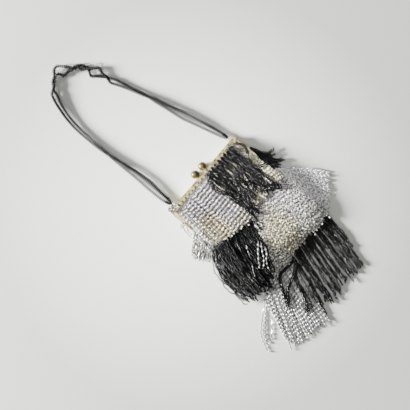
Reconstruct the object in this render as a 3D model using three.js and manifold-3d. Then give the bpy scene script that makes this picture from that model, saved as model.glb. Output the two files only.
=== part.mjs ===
// A beaded evening bag that lies on its back: a gilt kiss-lock frame, a hollow pouch of beaded
// cloth, three tiers of bead fringe in clear and black blocks, fringe along the side seams, and a
// handle of four bead strings.
// Millimetres. X runs across the bag, +Y towards the handle, +Z up from the surface it lies on.
// The origin is on that surface, under the middle of the pouch's back.
import * as THREE from "three";
import { mergeVertices } from "three/addons/utils/BufferGeometryUtils.js";
import Module from "manifold-3d";

const wasm = await Module();
wasm.setup();

// Sizes of the frame
const frameHalfWidth = 86; // middle to the outside of an arm
const frameCornerRadius = 3.5;
const railHeight = 3.4; // the solid bar along the top edge
const armWidth = 3.5;
const armEndWidth = 2.8;
const armLength = 56; // from the bar's top edge to the arm's end
const halfDepth = 6.3; // one half of the frame, front to back
const halvesGap = 0.3;
const flangeReach = 5; // the sewing flange, down from the rail
const armFlangeReach = 1.4; // the same flange, inwards from the arms
const flangeThickness = 1.2;
const flangeEndRise = 9; // where the arms' flange ends, above the arm's end
const ridgeEndRise = 4;
const rivetRise = 2.2;
const sewingHoleRadius = 0.7;
const sewingHolePitch = 8.5;
const sewingHoleShare = 0.6; // how far down the flange the holes lie
const stemHeightShare = 0.45; // where a knob's stem leaves the bar, as a share of its depth
const ridgeWidth = 1.3; // the raised moulding on the rail's face
const ridgeHeight = 0.35;
const edgeChamfer = 0.5;

// The kiss-lock knobs, their stems, the handle's ears and the rivets
const knobRadius = 7.4;
const knobOffset = 9.7; // from the frame's middle
const knobClearance = 0.6; // between the ball and the bar
const stemRadius = 1.3;
const stemInBall = 5;
const earInnerRadius = 1.6;
const earHoleShare = 0.8; // the hole in the ear, as a share of that radius
const earOuterRadius = 3.1;
const earThickness = 1.6;
const earOffset = 76; // from the frame's middle
const rivetRadius = 0.8;
const rivetHeadRadius = 1.35;
const rivetHeadHeight = 0.5;

// The pouch
const pouchBulge = 1; // how far each side seam stands out past the frame
const pouchDrop = 205; // from the frame's bar to the bottom seam
const pouchThickness = 22;
const wall = 2;
const pouchCurve = 2.6; // exponent of the crowned front: 2 is an ellipse
const backEdgeRadius = 7;

// Fringe and bead strings
const fringeThickness = 4.4; // two bead strings deep
const bandThickness = 2.4;
const bandHeight = 4.2;
const rootInBand = 0.45; // how far out in a seam's band its locks start, as a share of its height
const drapeInset = 10; // how far inside the pouch's edge a lock starts to turn down
const drapeSlope = 0.9;
const drapeRound = 6; // how softly a lock bends over the pouch's edge
const stringDiameter = 2.6;
const handleSpread = 2.3; // string centre to bundle centre where the strings lie tight

// Clearances
const clearance = 0.4;
const fitGap = 0.35; // round a stem or rivet in its bore
const drapeClearance = 0.9; // a lock's straight facets over the curved pouch
const floorClearance = 0.2;

// Heights and places that follow from them
const frameMidHeight = floorClearance + knobRadius;
const pouchHalfWidth = frameHalfWidth + pouchBulge;
const bottomY = -pouchDrop / 2;
const frameY = pouchDrop / 2; // the sewing line, where the pouch's drop starts
const railTop = frameY + railHeight - clearance;
const armEndY = railTop - armLength;
const mouthY = railTop - railHeight - clearance;
const flangeEndY = railTop - railHeight - flangeReach - clearance;
const frameFace = halvesGap / 2 + halfDepth; // above the plane between the halves
const flangeFace = frameFace - ridgeHeight;
const mouthHalfDepth = flangeFace - flangeThickness - clearance;
const mouthHalfWidth = frameHalfWidth - armWidth - armFlangeReach - clearance;
const tierLift = fringeThickness + drapeClearance;

// Turns a closed geometry into a solid that can be cut and joined
function solid(geometry) {
  const bare = new THREE.BufferGeometry();
  bare.setAttribute("position", geometry.getAttribute("position"));
  bare.setIndex(geometry.index);
  const merged = mergeVertices(bare, 1e-3);
  return new wasm.Manifold(
    new wasm.Mesh({
      numProp: 3,
      vertProperties: merged.attributes.position.array,
      triVerts: new Uint32Array(merged.index.array),
    }),
  );
}

function geometryOf(shape) {
  const mesh = shape.getMesh();
  const geometry = new THREE.BufferGeometry();
  geometry.setAttribute("position", new THREE.BufferAttribute(mesh.vertProperties, 3));
  geometry.setIndex(new THREE.BufferAttribute(mesh.triVerts, 1));
  geometry.computeVertexNormals();
  return geometry;
}

function joined(geometries) {
  return geometries.map(solid).reduce((all, next) => all.add(next));
}

// A closed solid through rings that all have the same number of points
function loft(rings) {
  const count = rings[0].length;
  const points = rings.flat();
  const faces = [];
  for (let r = 0; r + 1 < rings.length; r++) {
    for (let i = 0; i < count; i++) {
      const a = r * count + i;
      const b = r * count + ((i + 1) % count);
      faces.push(a, b, b + count, a, b + count, a + count);
    }
  }
  [0, rings.length - 1].forEach((r) => {
    const middle = new THREE.Vector3();
    rings[r].forEach((p) => middle.addScaledVector(p, 1 / count));
    points.push(middle);
    for (let i = 0; i < count; i++) {
      const a = r * count + i;
      const b = r * count + ((i + 1) % count);
      faces.push(...(r === 0 ? [b, a] : [a, b]), points.length - 1);
    }
  });
  const geometry = new THREE.BufferGeometry().setFromPoints(points);
  geometry.setIndex(faces);
  return geometry;
}

const smooth = (t) => THREE.MathUtils.smoothstep(t, 0, 1);
const across = (share) => share * pouchHalfWidth;
const down = (share) => frameY - share * pouchDrop;

// The pouch's sections, from the frame to the bottom seam. Between the frame's arms, at is a share
// of the way down them. Below, it is a share of the way from their ends to the seam, and half is a
// share of the pouch's half width. back and front are shares of its thickness.
const sectionsInArms = [
  { at: 0.3, back: 0.01, front: 0.76 },
  { at: 1, back: 0, front: 0.92 },
].map((s) => ({ y: THREE.MathUtils.lerp(flangeEndY, armEndY, s.at), half: mouthHalfWidth, ...s }));
const sectionsBelowArms = [
  { at: 0.12, half: 0.985, back: 0, front: 0.97 },
  { at: 0.33, half: 1, back: 0, front: 1 },
  { at: 0.6, half: 1, back: 0, front: 0.98 },
  { at: 0.81, half: 0.985, back: 0, front: 0.82 },
  { at: 0.92, half: 0.94, back: 0, front: 0.6 },
  { at: 0.97, half: 0.88, back: 0.04, front: 0.4 },
  { at: 1, half: 0.82, back: 0.12, front: 0.3 },
].map((s) => ({
  ...s,
  y: THREE.MathUtils.lerp(armEndY, bottomY, s.at),
  half: s.half * pouchHalfWidth,
}));
const pouchSections = [...sectionsInArms, ...sectionsBelowArms].map((s) => ({
  ...s,
  back: s.back * pouchThickness,
  front: s.front * pouchThickness,
}));
[flangeEndY, mouthY].forEach((y) => {
  pouchSections.unshift({
    y,
    half: mouthHalfWidth,
    back: frameMidHeight - mouthHalfDepth,
    front: frameMidHeight + mouthHalfDepth,
  });
});

// One section of the pouch, taken in by a wall: flat under the back, crowned over the front
function pouchRing(section, inset) {
  const half = section.half - inset;
  const back = section.back + inset;
  const front = section.front - inset;
  const middle = (back + front) / 2;
  const edge = Math.max(backEdgeRadius - inset, wall);
  const ring = [];
  const crownSteps = 12;
  for (let i = 0; i <= crownSteps; i++) {
    const angle = (Math.PI * i) / crownSteps;
    const c = Math.cos(angle);
    ring.push([
      half * Math.sign(c) * Math.abs(c) ** (2 / pouchCurve),
      middle + (front - middle) * Math.abs(Math.sin(angle)) ** (2 / pouchCurve),
    ]);
  }
  const edgeSteps = 3;
  for (let i = 1; i <= edgeSteps; i++) {
    const angle = (Math.PI / 2) * (i / edgeSteps);
    ring.push([-half + edge * (1 - Math.cos(angle)), middle - (middle - back) * Math.sin(angle)]);
  }
  for (let i = edgeSteps; i >= 1; i--) {
    const angle = (Math.PI / 2) * (i / edgeSteps);
    ring.push([half - edge * (1 - Math.cos(angle)), middle - (middle - back) * Math.sin(angle)]);
  }
  return ring.map(([x, z]) => new THREE.Vector3(x, section.y, z));
}

function pouch() {
  const outer = loft(pouchSections.map((s) => pouchRing(s, 0)));
  const last = pouchSections.length - 1;
  const inner = pouchSections.slice(0, last).map((s) => pouchRing(s, wall));
  inner.unshift(inner[0].map((p) => p.clone().setY(p.y + wall)));
  return geometryOf(solid(outer).subtract(solid(loft(inner))));
}

// The pouch's section at any y, and nothing past its ends
function pouchAt(y) {
  const below = pouchSections.findIndex((s) => s.y <= y);
  if (below <= 0) return null;
  const a = pouchSections[below - 1];
  const b = pouchSections[below];
  const between = (name) => THREE.MathUtils.mapLinear(y, a.y, b.y, a[name], b[name]);
  return { half: between("half"), back: between("back"), front: between("front") };
}

// The height of the pouch's front above the surface, 0 outside it
function pouchTop(x, y) {
  const section = pouchAt(y);
  if (section === null || Math.abs(x) >= section.half) return 0;
  const { half, back, front } = section;
  const crown = (1 - (Math.abs(x) / half) ** pouchCurve) ** (1 / pouchCurve);
  return (back + front) / 2 + ((front - back) / 2) * crown;
}

// The height at which a lock lies: on the pouch, then down its edge to the surface. A lock is flat
// underneath, so what counts is the height a little nearer to the pouch's middle.
function drape(x, y) {
  const nearer = (v) => Math.sign(v) * Math.max(Math.abs(v) - drapeRound, 0);
  const reach = pouchHalfWidth - drapeInset;
  const lowest = bottomY + drapeInset;
  const inside = new THREE.Vector2(
    THREE.MathUtils.clamp(nearer(x), -reach, reach),
    THREE.MathUtils.clamp(nearer(y), lowest, mouthY - clearance),
  );
  const past = Math.hypot(nearer(x) - inside.x, nearer(y) - inside.y);
  return Math.max(
    pouchTop(nearer(x), nearer(y)),
    pouchTop(inside.x, inside.y) - drapeSlope * past,
    0,
  );
}

// Where the ends of the upper and the middle tier rise over the tier below, in shares of the drop
const upperRises = 0.38;
const middleRises = 0.84;
const riseShare = 0.07;
const rise = (from, y) => smooth((down(from) - y) / (pouchDrop * riseShare));

// What each tier lies on
const onPouch = (x, y) => drape(x, y) + drapeClearance + tierLift * rise(upperRises, y);
const overLowerTier = (x, y) =>
  Math.max(drape(x, y), (tierLift + clearance) * rise(middleRises, y)) + drapeClearance;
const onSurface = () => floorClearance;

const stripSteps = 5;
const shoulder = 0.6; // how thick a strip is at its edges, as a share of its middle

// A strip along a route: its underside follows what is beneath, and its top is crowned
function strip(route, width, thickness, under) {
  const rings = [];
  for (let k = 0; k <= stripSteps; k++) {
    const t = k / stripSteps;
    const p = route.getPoint(t);
    const d = route.getTangent(t);
    const half = width(t) / 2;
    const left = { x: p.x - d.y * half, y: p.y + d.x * half };
    const right = { x: p.x + d.y * half, y: p.y - d.x * half };
    const low = [left, p, right].map((q) => under(q.x, q.y, t));
    const deep = thickness(t);
    rings.push([
      new THREE.Vector3(left.x, left.y, low[0]),
      new THREE.Vector3(left.x, left.y, low[0] + deep * shoulder),
      new THREE.Vector3(p.x, p.y, low[1] + deep),
      new THREE.Vector3(right.x, right.y, low[2] + deep * shoulder),
      new THREE.Vector3(right.x, right.y, low[2]),
      new THREE.Vector3(p.x, p.y, low[1]),
    ]);
  }
  return loft(rings);
}

const plan = ([x, y]) => new THREE.Vector2(across(x), down(y));

// A block of fringe: a sewn band and the locks that hang from it, as one solid.
// A lock starts at root, leans towards via and ends at tip, all in shares across and down. lift is
// how many fringe layers it lies above the rest of its block, and slim is its share of the width.
const gathered = 0.7; // a lock's width at its band
const spent = 0.75; // and at its tip
const leavesBand = 0.25; // the share of a lock over which it opens out from its band
function fringe({ band, locks, width, under, bandUnder }) {
  const bandRoute = new THREE.SplineCurve(band.map(plan));
  const parts = [strip(bandRoute, () => bandHeight, () => bandThickness, bandUnder)];
  locks.forEach(({ root, via, tip, lift = 0, slim = 1 }) => {
    const route = new THREE.QuadraticBezierCurve(plan(root), plan(via), plan(tip));
    const opened = (t) => smooth(t / leavesBand);
    const widened = (t) => {
      const opening = THREE.MathUtils.lerp(gathered, 1, opened(t));
      return slim * width * opening * THREE.MathUtils.lerp(1, spent, smooth(t * 2 - 1));
    };
    const raised = (x, y, t) => {
      const low = under(x, y, t) + lift * tierLift;
      return THREE.MathUtils.lerp(bandUnder(x, y), low, opened(t));
    };
    const deep = (t) => THREE.MathUtils.lerp(bandThickness, fringeThickness, opened(t));
    parts.push(strip(route, widened, deep, raised));
  });
  return geometryOf(joined(parts));
}

// Each tier's roots lie on one line across; its locks fan out from there
const upperLine = (frameY - flangeEndY + bandHeight / 2) / pouchDrop;
const middleLine = 0.5;
const lowerLine = 1 + (2 * clearance + bandHeight / 2) / pouchDrop;

const upperClearLocks = [
  { root: -0.85, via: [-0.855, 0.25], tip: [-0.9, 0.45] },
  { root: -0.73, via: [-0.73, 0.25], tip: [-0.76, 0.48] },
  { root: -0.59, via: [-0.59, 0.25], tip: [-0.61, 0.51] },
  { root: -0.45, via: [-0.45, 0.25], tip: [-0.46, 0.54] },
  { root: -0.31, via: [-0.31, 0.25], tip: [-0.3, 0.55] },
  { root: -0.17, via: [-0.17, 0.25], tip: [-0.15, 0.56] },
];
const upperBlackLocks = [
  { root: 0.01, via: [-0.07, 0.22], tip: [0.05, 0.52] },
  { root: 0.1, via: [0.09, 0.25], tip: [0.14, 0.57] },
  { root: 0.19, via: [0.2, 0.25], tip: [0.22, 0.52] },
  { root: 0.28, via: [0.28, 0.25], tip: [0.3, 0.47] },
  { root: 0.37, via: [0.38, 0.25], tip: [0.38, 0.45] },
  { root: 0.46, via: [0.47, 0.25], tip: [0.47, 0.44] },
  { root: 0.55, via: [0.54, 0.25], tip: [0.58, 0.52] },
  { root: 0.64, via: [0.64, 0.25], tip: [0.69, 0.54] },
  { root: 0.73, via: [0.78, 0.22], tip: [0.8, 0.56] },
];
const middleBlackLocks = [
  { root: -0.91, via: [-1.46, 0.72], tip: [-1.32, 1.0] },
  { root: -0.79, via: [-1.27, 0.75], tip: [-1.16, 1.02] },
  { root: -0.67, via: [-1.08, 0.75], tip: [-1.01, 1.04] },
  { root: -0.55, via: [-0.9, 0.77], tip: [-0.87, 1.06] },
  { root: -0.43, via: [-0.74, 0.75], tip: [-0.73, 1.03] },
  { root: -0.31, via: [-0.57, 0.73], tip: [-0.59, 0.97] },
  { root: -0.19, via: [-0.36, 0.7], tip: [-0.45, 0.89] },
  { root: -0.08, via: [-0.13, 0.61], tip: [-0.22, 0.7] },
];
const middleClearLocks = [
  { root: 0.07, via: [-0.02, 0.76], tip: [-0.44, 0.97] },
  { root: 0.18, via: [0.09, 0.77], tip: [-0.2, 0.99] },
  { root: 0.3, via: [0.25, 0.77], tip: [0.0, 1.0] },
  { root: 0.42, via: [0.4, 0.77], tip: [0.19, 1.0] },
  { root: 0.54, via: [0.52, 0.77], tip: [0.38, 0.99] },
  { root: 0.66, via: [0.66, 0.77], tip: [0.58, 1.0] },
  { root: 0.78, via: [0.82, 0.77], tip: [0.78, 1.02] },
  { root: 0.9, via: [0.98, 0.77], tip: [0.97, 1.0] },
];
const lowerClearLocks = [
  { root: -0.88, via: [-1.7, 1.2], tip: [-1.9, 1.43], slim: 0.35 },
  { root: -0.8, via: [-1.1, 1.23], tip: [-1.47, 1.5] },
  { root: -0.66, via: [-0.96, 1.28], tip: [-1.27, 1.54] },
  { root: -0.51, via: [-0.8, 1.28], tip: [-1.06, 1.57] },
  { root: -0.36, via: [-0.62, 1.28], tip: [-0.86, 1.59] },
  { root: -0.21, via: [-0.46, 1.28], tip: [-0.66, 1.61] },
];
const lowerBlackLocks = [
  { root: 0, drop: 0.015, via: [-0.5, 1.05], tip: [-0.96, 1.31], lift: 1 },
  { root: 0.1, drop: 0.015, via: [-0.32, 1.18], tip: [-0.8, 1.44], lift: 1 },
  { root: 0.2, drop: 0.01, via: [-0.16, 1.27], tip: [-0.58, 1.47], lift: 1 },
  { root: 0.3, via: [0.02, 1.3], tip: [-0.33, 1.53] },
  { root: 0.38, via: [0.12, 1.28], tip: [-0.1, 1.54] },
  { root: 0.48, via: [0.26, 1.28], tip: [0.08, 1.55] },
  { root: 0.58, via: [0.38, 1.28], tip: [0.26, 1.53] },
  { root: 0.68, via: [0.52, 1.28], tip: [0.44, 1.55] },
  { root: 0.78, via: [0.66, 1.28], tip: [0.58, 1.52] },
  { root: 0.88, via: [0.8, 1.28], tip: [0.73, 1.56] },
  { root: 0.98, via: [0.97, 1.2], tip: [0.9, 1.37] },
];
const leftClearLocks = [
  { root: 0.05, via: [-1.12, 0.28], tip: [-1.22, 0.25] },
  { root: 0.09, via: [-1.18, 0.32], tip: [-1.36, 0.34] },
  { root: 0.13, via: [-1.2, 0.37], tip: [-1.42, 0.42] },
  { root: 0.19, via: [-1.16, 0.43], tip: [-1.3, 0.5] },
];
const rightClearLocks = [
  { root: 0.28, via: [1.36, 0.55], tip: [1.69, 0.82] },
  { root: 0.36, via: [1.29, 0.63], tip: [1.55, 0.87] },
  { root: 0.44, via: [1.23, 0.71], tip: [1.41, 0.92] },
  { root: 0.52, via: [1.17, 0.77], tip: [1.27, 0.95] },
  { root: 0.6, via: [1.12, 0.82], tip: [1.13, 0.97] },
];
const rightBlackLocks = [
  { root: 0.03, via: [1.12, 0.26], tip: [1.24, 0.33] },
  { root: 0.07, via: [1.14, 0.34], tip: [1.25, 0.42] },
  { root: 0.11, via: [1.08, 0.37], tip: [1.11, 0.42] },
];

// Locks that hang from a line across the bag, or from a side seam, where the root is a share of the
// way from the frame's arm to the bottom
const armShare = (frameY - armEndY) / pouchDrop;
function onSeam(side, share) {
  const y = THREE.MathUtils.lerp(armShare, 1, share);
  const x = pouchAt(down(y)).half + clearance + bandHeight / 2;
  return [(side * x) / pouchHalfWidth, y];
}
const seamBand = (side, from, to) =>
  [0, 0.25, 0.5, 0.75, 1].map((t) => onSeam(side, THREE.MathUtils.lerp(from, to, t)));
const fromLine = (line, locks) =>
  locks.map((l) => ({ ...l, root: [l.root, line + (l.drop ?? 0)] }));
const fromSeam = (side, locks) =>
  locks.map((l) => {
    const [x, y] = onSeam(side, l.root);
    return { ...l, root: [x + (side * bandHeight * rootInBand) / pouchHalfWidth, y] };
  });

const seamHeight = () => pouchThickness / 2 - bandThickness;
const lowerBandHeight = () => bandThickness / 2;
const ontoFloor = (x, y, t) => THREE.MathUtils.lerp(seamHeight(), floorClearance, smooth(t * 2));
const ontoFringe = () => floorClearance + tierLift + clearance;

const fringes = {
  upper_clear_fringe: {
    band: [[-0.91, upperLine], [-0.1, upperLine]],
    locks: fromLine(upperLine, upperClearLocks),
    width: 10.6,
    under: onPouch,
    bandUnder: onPouch,
  },
  upper_black_fringe: {
    band: [[-0.05, upperLine], [0.78, upperLine]],
    locks: fromLine(upperLine, upperBlackLocks),
    width: 6.6,
    under: onPouch,
    bandUnder: onPouch,
  },
  middle_black_fringe: {
    band: [[-0.97, middleLine], [-0.02, middleLine]],
    locks: fromLine(middleLine, middleBlackLocks),
    width: 9.6,
    under: overLowerTier,
    bandUnder: overLowerTier,
  },
  middle_clear_fringe: {
    band: [[0.01, middleLine], [0.96, middleLine]],
    locks: fromLine(middleLine, middleClearLocks),
    width: 10,
    under: overLowerTier,
    bandUnder: overLowerTier,
  },
  lower_clear_fringe: {
    band: [[-0.89, lowerLine], [-0.13, lowerLine]],
    locks: fromLine(lowerLine, lowerClearLocks),
    width: 11,
    under: onSurface,
    bandUnder: lowerBandHeight,
  },
  lower_black_fringe: {
    band: [[-0.08, lowerLine], [1.02, lowerLine]],
    locks: fromLine(lowerLine, lowerBlackLocks),
    width: 6.6,
    under: onSurface,
    bandUnder: lowerBandHeight,
  },
  left_seam_clear_fringe: {
    band: seamBand(-1, 0.22, 0.01),
    locks: fromSeam(-1, leftClearLocks),
    width: 8,
    under: ontoFloor,
    bandUnder: seamHeight,
  },
  right_seam_clear_fringe: {
    band: seamBand(1, 0.24, 0.64),
    locks: fromSeam(1, rightClearLocks),
    width: 9,
    under: ontoFloor,
    bandUnder: seamHeight,
  },
  right_seam_black_fringe: {
    band: seamBand(1, 0.01, 0.15),
    locks: fromSeam(1, rightBlackLocks),
    width: 5,
    under: ontoFringe,
    bandUnder: seamHeight,
  },
};

// A plan outline of three sides, the bar and both arms. outside, bar, arm and end are distances
// from the frame's edge, the last three of the inner edge.
function threeSides(outside, bar, arm, end, armEnd) {
  const x = frameHalfWidth - outside;
  const top = railTop - outside;
  const r = Math.max(frameCornerRadius - outside, edgeChamfer);
  const shape = new THREE.Shape();
  shape.moveTo(-x, armEnd);
  shape.lineTo(-frameHalfWidth + end, armEnd);
  shape.lineTo(-frameHalfWidth + arm, railTop - bar);
  shape.lineTo(frameHalfWidth - arm, railTop - bar);
  shape.lineTo(frameHalfWidth - end, armEnd);
  shape.lineTo(x, armEnd);
  shape.lineTo(x, top - r);
  shape.absarc(x - r, top - r, r, 0, Math.PI / 2, false);
  shape.lineTo(-x + r, top);
  shape.absarc(-x + r, top - r, r, Math.PI / 2, Math.PI, false);
  shape.closePath();
  return shape;
}

// A slab between two heights above the frame's middle plane, with chamfered edges if asked
function slab(shape, from, to, chamfer = 0) {
  const geometry = new THREE.ExtrudeGeometry(shape, {
    depth: to - from - 2 * chamfer,
    bevelEnabled: chamfer > 0,
    bevelThickness: chamfer,
    bevelSize: chamfer,
    bevelOffset: -chamfer,
    bevelSegments: 1,
    curveSegments: 4,
  });
  return geometry.translate(0, 0, from + chamfer);
}

const circle = (x, y, radius) => new THREE.Path().absarc(x, y, radius, 0, 2 * Math.PI, true);

function round(radius, length, from, towards, sides = 12) {
  const geometry = new THREE.CylinderGeometry(radius, radius, length, sides);
  const turn = new THREE.Quaternion().setFromUnitVectors(
    new THREE.Vector3(0, 1, 0),
    towards.clone().sub(from).normalize(),
  );
  const middle = from.clone().add(towards.clone().sub(from).setLength(length / 2));
  return geometry.applyQuaternion(turn).translate(middle.x, middle.y, middle.z);
}

const knobCentre = new THREE.Vector3(knobOffset, railTop + knobClearance + knobRadius, 0);
const stemFoot = new THREE.Vector3(knobOffset, railTop - railHeight / 2, halfDepth * stemHeightShare);
const rivetX = frameHalfWidth - armEndWidth / 2;
const rivetY = armEndY + rivetRise;

// One half of the frame, standing on the middle plane between the halves. The other half is the
// same turned about Y, so its knob and ear lie on the other side.
function frameHalf() {
  const railShape = threeSides(0, railHeight, armWidth, armEndWidth, armEndY);
  const rail = slab(railShape, halvesGap / 2, flangeFace, edgeChamfer);
  const ridgeInside = edgeChamfer + ridgeWidth;
  const ridgeEnd = armEndY + ridgeEndRise;
  const ridgeShape = threeSides(edgeChamfer, ridgeInside, ridgeInside, ridgeInside, ridgeEnd);
  const ridge = slab(ridgeShape, flangeFace - ridgeHeight, frameFace);
  const flangeShape = threeSides(
    railHeight / 2,
    railHeight + flangeReach,
    armWidth + armFlangeReach,
    armEndWidth + armFlangeReach / 2,
    armEndY + flangeEndRise,
  );
  const holeLine = railTop - railHeight - flangeReach * sewingHoleShare;
  const holes = Math.floor((mouthHalfWidth - sewingHolePitch / 2) / sewingHolePitch);
  for (let i = -holes; i <= holes; i++) {
    flangeShape.holes.push(circle(i * sewingHolePitch, holeLine, sewingHoleRadius));
  }
  const flange = slab(flangeShape, flangeFace - flangeThickness, flangeFace);
  const earShape = new THREE.Shape().absarc(
    -earOffset,
    railTop + earInnerRadius,
    earOuterRadius,
    0,
    2 * Math.PI,
  );
  earShape.holes.push(circle(-earOffset, railTop + earInnerRadius, earInnerRadius * earHoleShare));
  const ear = slab(earShape, halvesGap, halvesGap + earThickness);
  const stemLength = stemFoot.distanceTo(knobCentre) - knobRadius + stemInBall;
  const stem = round(stemRadius, stemLength, stemFoot, knobCentre);
  let half = joined([rail, ridge, flange, ear, stem]);
  [-rivetX, rivetX].forEach((x) => {
    const bore = slab(
      new THREE.Shape().absarc(x, rivetY, rivetRadius + fitGap, 0, 2 * Math.PI),
      -halvesGap,
      frameFace + halvesGap,
    );
    half = half.subtract(solid(bore));
  });
  return geometryOf(half);
}

function knob() {
  const ball = new THREE.SphereGeometry(knobRadius, 16, 10).translate(...knobCentre.toArray());
  const bore = round(
    stemRadius + fitGap,
    stemFoot.distanceTo(knobCentre) - knobRadius + stemInBall + fitGap,
    stemFoot,
    knobCentre,
  );
  return geometryOf(solid(ball).subtract(solid(bore)));
}

// A rivet through both arm ends, with a head on the front and its tail flush at the back
function rivet(x) {
  const seat = flangeFace + fitGap;
  const profile = [
    [0, -flangeFace],
    [rivetRadius, -flangeFace],
    [rivetRadius, seat],
    [rivetHeadRadius, seat],
    [(rivetRadius + rivetHeadRadius) / 2, seat + rivetHeadHeight],
    [0, seat + rivetHeadHeight],
  ].map(([r, h]) => new THREE.Vector2(r, h));
  return new THREE.LatheGeometry(profile, 12).rotateX(Math.PI / 2).translate(x, rivetY, 0);
}

// The handle's middle line, from the left ear over the top to the right ear, chosen by hand.
// across and up are measured from the middle of the frame's bar. apart is how far the strings
// stand from each other there, and turn how far the bundle has twisted, in quarter turns.
const handleRoute = [
  { across: -76, up: 8, apart: 1, turn: 0.2 },
  { across: -77, up: 31, apart: 1.7, turn: 0.25 },
  { across: -76, up: 62, apart: 2.4, turn: 0.3 },
  { across: -77, up: 92, apart: 1.9, turn: 0.45 },
  { across: -80, up: 123, apart: 1, turn: 0.8 },
  { across: -82, up: 160, apart: 1, turn: 1.1 },
  { across: -82, up: 193, apart: 1.1, turn: 1.4 },
  { across: -81, up: 226, apart: 1.2, turn: 1.6 },
  { across: -75, up: 258, apart: 1.2, turn: 2 },
  { across: -64, up: 287, apart: 1.6, turn: 2.5 },
  { across: -48, up: 305, apart: 2.6, turn: 3 },
  { across: -29, up: 310, apart: 2.2, turn: 3.6 },
  { across: -12, up: 299, apart: 1.4, turn: 4.2 },
  { across: 2, up: 287, apart: 1.3, turn: 4.8 },
  { across: 11, up: 271, apart: 2.6, turn: 5.2 },
  { across: 16, up: 250, apart: 1.3, turn: 5.8 },
  { across: 22, up: 226, apart: 1.5, turn: 6.2 },
  { across: 31, up: 197, apart: 1, turn: 6.6 },
  { across: 41, up: 160, apart: 1, turn: 7 },
  { across: 48, up: 129, apart: 1.2, turn: 7.4 },
  { across: 56, up: 94, apart: 2.4, turn: 7.8 },
  { across: 64, up: 62, apart: 2.1, turn: 8 },
  { across: 71, up: 29, apart: 1.2, turn: 8.2 },
  { across: 76, up: 8, apart: 1, turn: 8.2 },
];
const handleSteps = 54;
const handleEndLength = 14; // over which the bundle comes down from the ears
const earEndY = railTop + earInnerRadius + earOuterRadius + 2 * clearance;

// One bead string of the handle, as a plain tube: the strings circle the middle line
function handleString(index) {
  const middle = new THREE.CatmullRomCurve3(
    handleRoute.map((p, i) => {
      const end = i === 0 || i === handleRoute.length - 1;
      const x = end ? Math.sign(p.across) * earOffset : p.across;
      return new THREE.Vector3(x, end ? earEndY : frameY + p.up, 0);
    }),
  );
  const last = handleRoute.length - 1;
  const points = [];
  const perStep = 3;
  for (let k = 0; k <= last * perStep; k++) {
    const t = k / (last * perStep);
    const row = Math.min(Math.floor(k / perStep), last - 1);
    const share = k / perStep - row;
    const mix = (name) =>
      THREE.MathUtils.lerp(handleRoute[row][name], handleRoute[row + 1][name], share);
    const p = middle.getPoint(t);
    const d = middle.getTangent(t);
    const angle = (mix("turn") + index) * (Math.PI / 2);
    const side = handleSpread * mix("apart") * Math.cos(angle);
    const tight = floorClearance + handleSpread + stringDiameter / 2;
    const fromEar = Math.min(t, 1 - t) * middle.getLength();
    const height = THREE.MathUtils.lerp(frameMidHeight, tight, smooth(fromEar / handleEndLength));
    points.push(
      new THREE.Vector3(p.x + d.y * side, p.y - d.x * side, height + handleSpread * Math.sin(angle)),
    );
  }
  const section = new THREE.Shape();
  section.absarc(0, 0, stringDiameter / 2, 0, 2 * Math.PI);
  return new THREE.ExtrudeGeometry(section, {
    steps: handleSteps,
    curveSegments: 4,
    bevelEnabled: false,
    extrudePath: new THREE.CatmullRomCurve3(points),
  });
}

const gilt = new THREE.MeshStandardMaterial({ color: 0xd8c48a, roughness: 0.35, metalness: 1 });
const brown = new THREE.MeshStandardMaterial({ color: 0x8a6336, roughness: 0.25 });
const beadedCloth = new THREE.MeshStandardMaterial({ color: 0xd9d2bf, roughness: 0.6 });
const clearBeads = new THREE.MeshStandardMaterial({ color: 0xd5d6d6, roughness: 0.2 });
const blackBeads = new THREE.MeshStandardMaterial({ color: 0x17171a, roughness: 0.2 });

function named(name, geometry, material) {
  const mesh = new THREE.Mesh(geometry, material);
  mesh.name = name;
  return mesh;
}

const bag = new THREE.Group();
[
  { side: "front", turn: 0 },
  { side: "back", turn: Math.PI },
].forEach(({ side, turn }) => {
  const half = new THREE.Group();
  half.position.z = frameMidHeight;
  half.rotation.y = turn;
  half.add(named(`frame_${side}`, frameHalf(), gilt));
  half.add(named(`knob_${side}`, knob(), brown));
  bag.add(half);
});
[
  ["left", -rivetX],
  ["right", rivetX],
].forEach(([side, x]) => {
  const pin = named(`hinge_rivet_${side}`, rivet(x), gilt);
  pin.position.z = frameMidHeight;
  bag.add(pin);
});
bag.add(named("pouch", pouch(), beadedCloth));
Object.entries(fringes).forEach(([name, block]) => {
  bag.add(named(name, fringe(block), name.includes("black") ? blackBeads : clearBeads));
});
["black_1", "clear_1", "black_2", "clear_2"].forEach((name, i) => {
  const beads = name.startsWith("black") ? blackBeads : clearBeads;
  bag.add(named(`handle_string_${name}`, handleString(i), beads));
});

export default bag;
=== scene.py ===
"""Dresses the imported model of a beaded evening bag: glass beads on every fringe strand and handle
string, a gilt frame sewn with thread, enamelled knobs, a crepe pouch, and the stage around them.
Tables are in millimetres or in shares of the pouch, and every mesh is in metres.
"""

import math

import bmesh
import bpy
import numpy as np
from mathutils import Matrix, Vector


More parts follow.
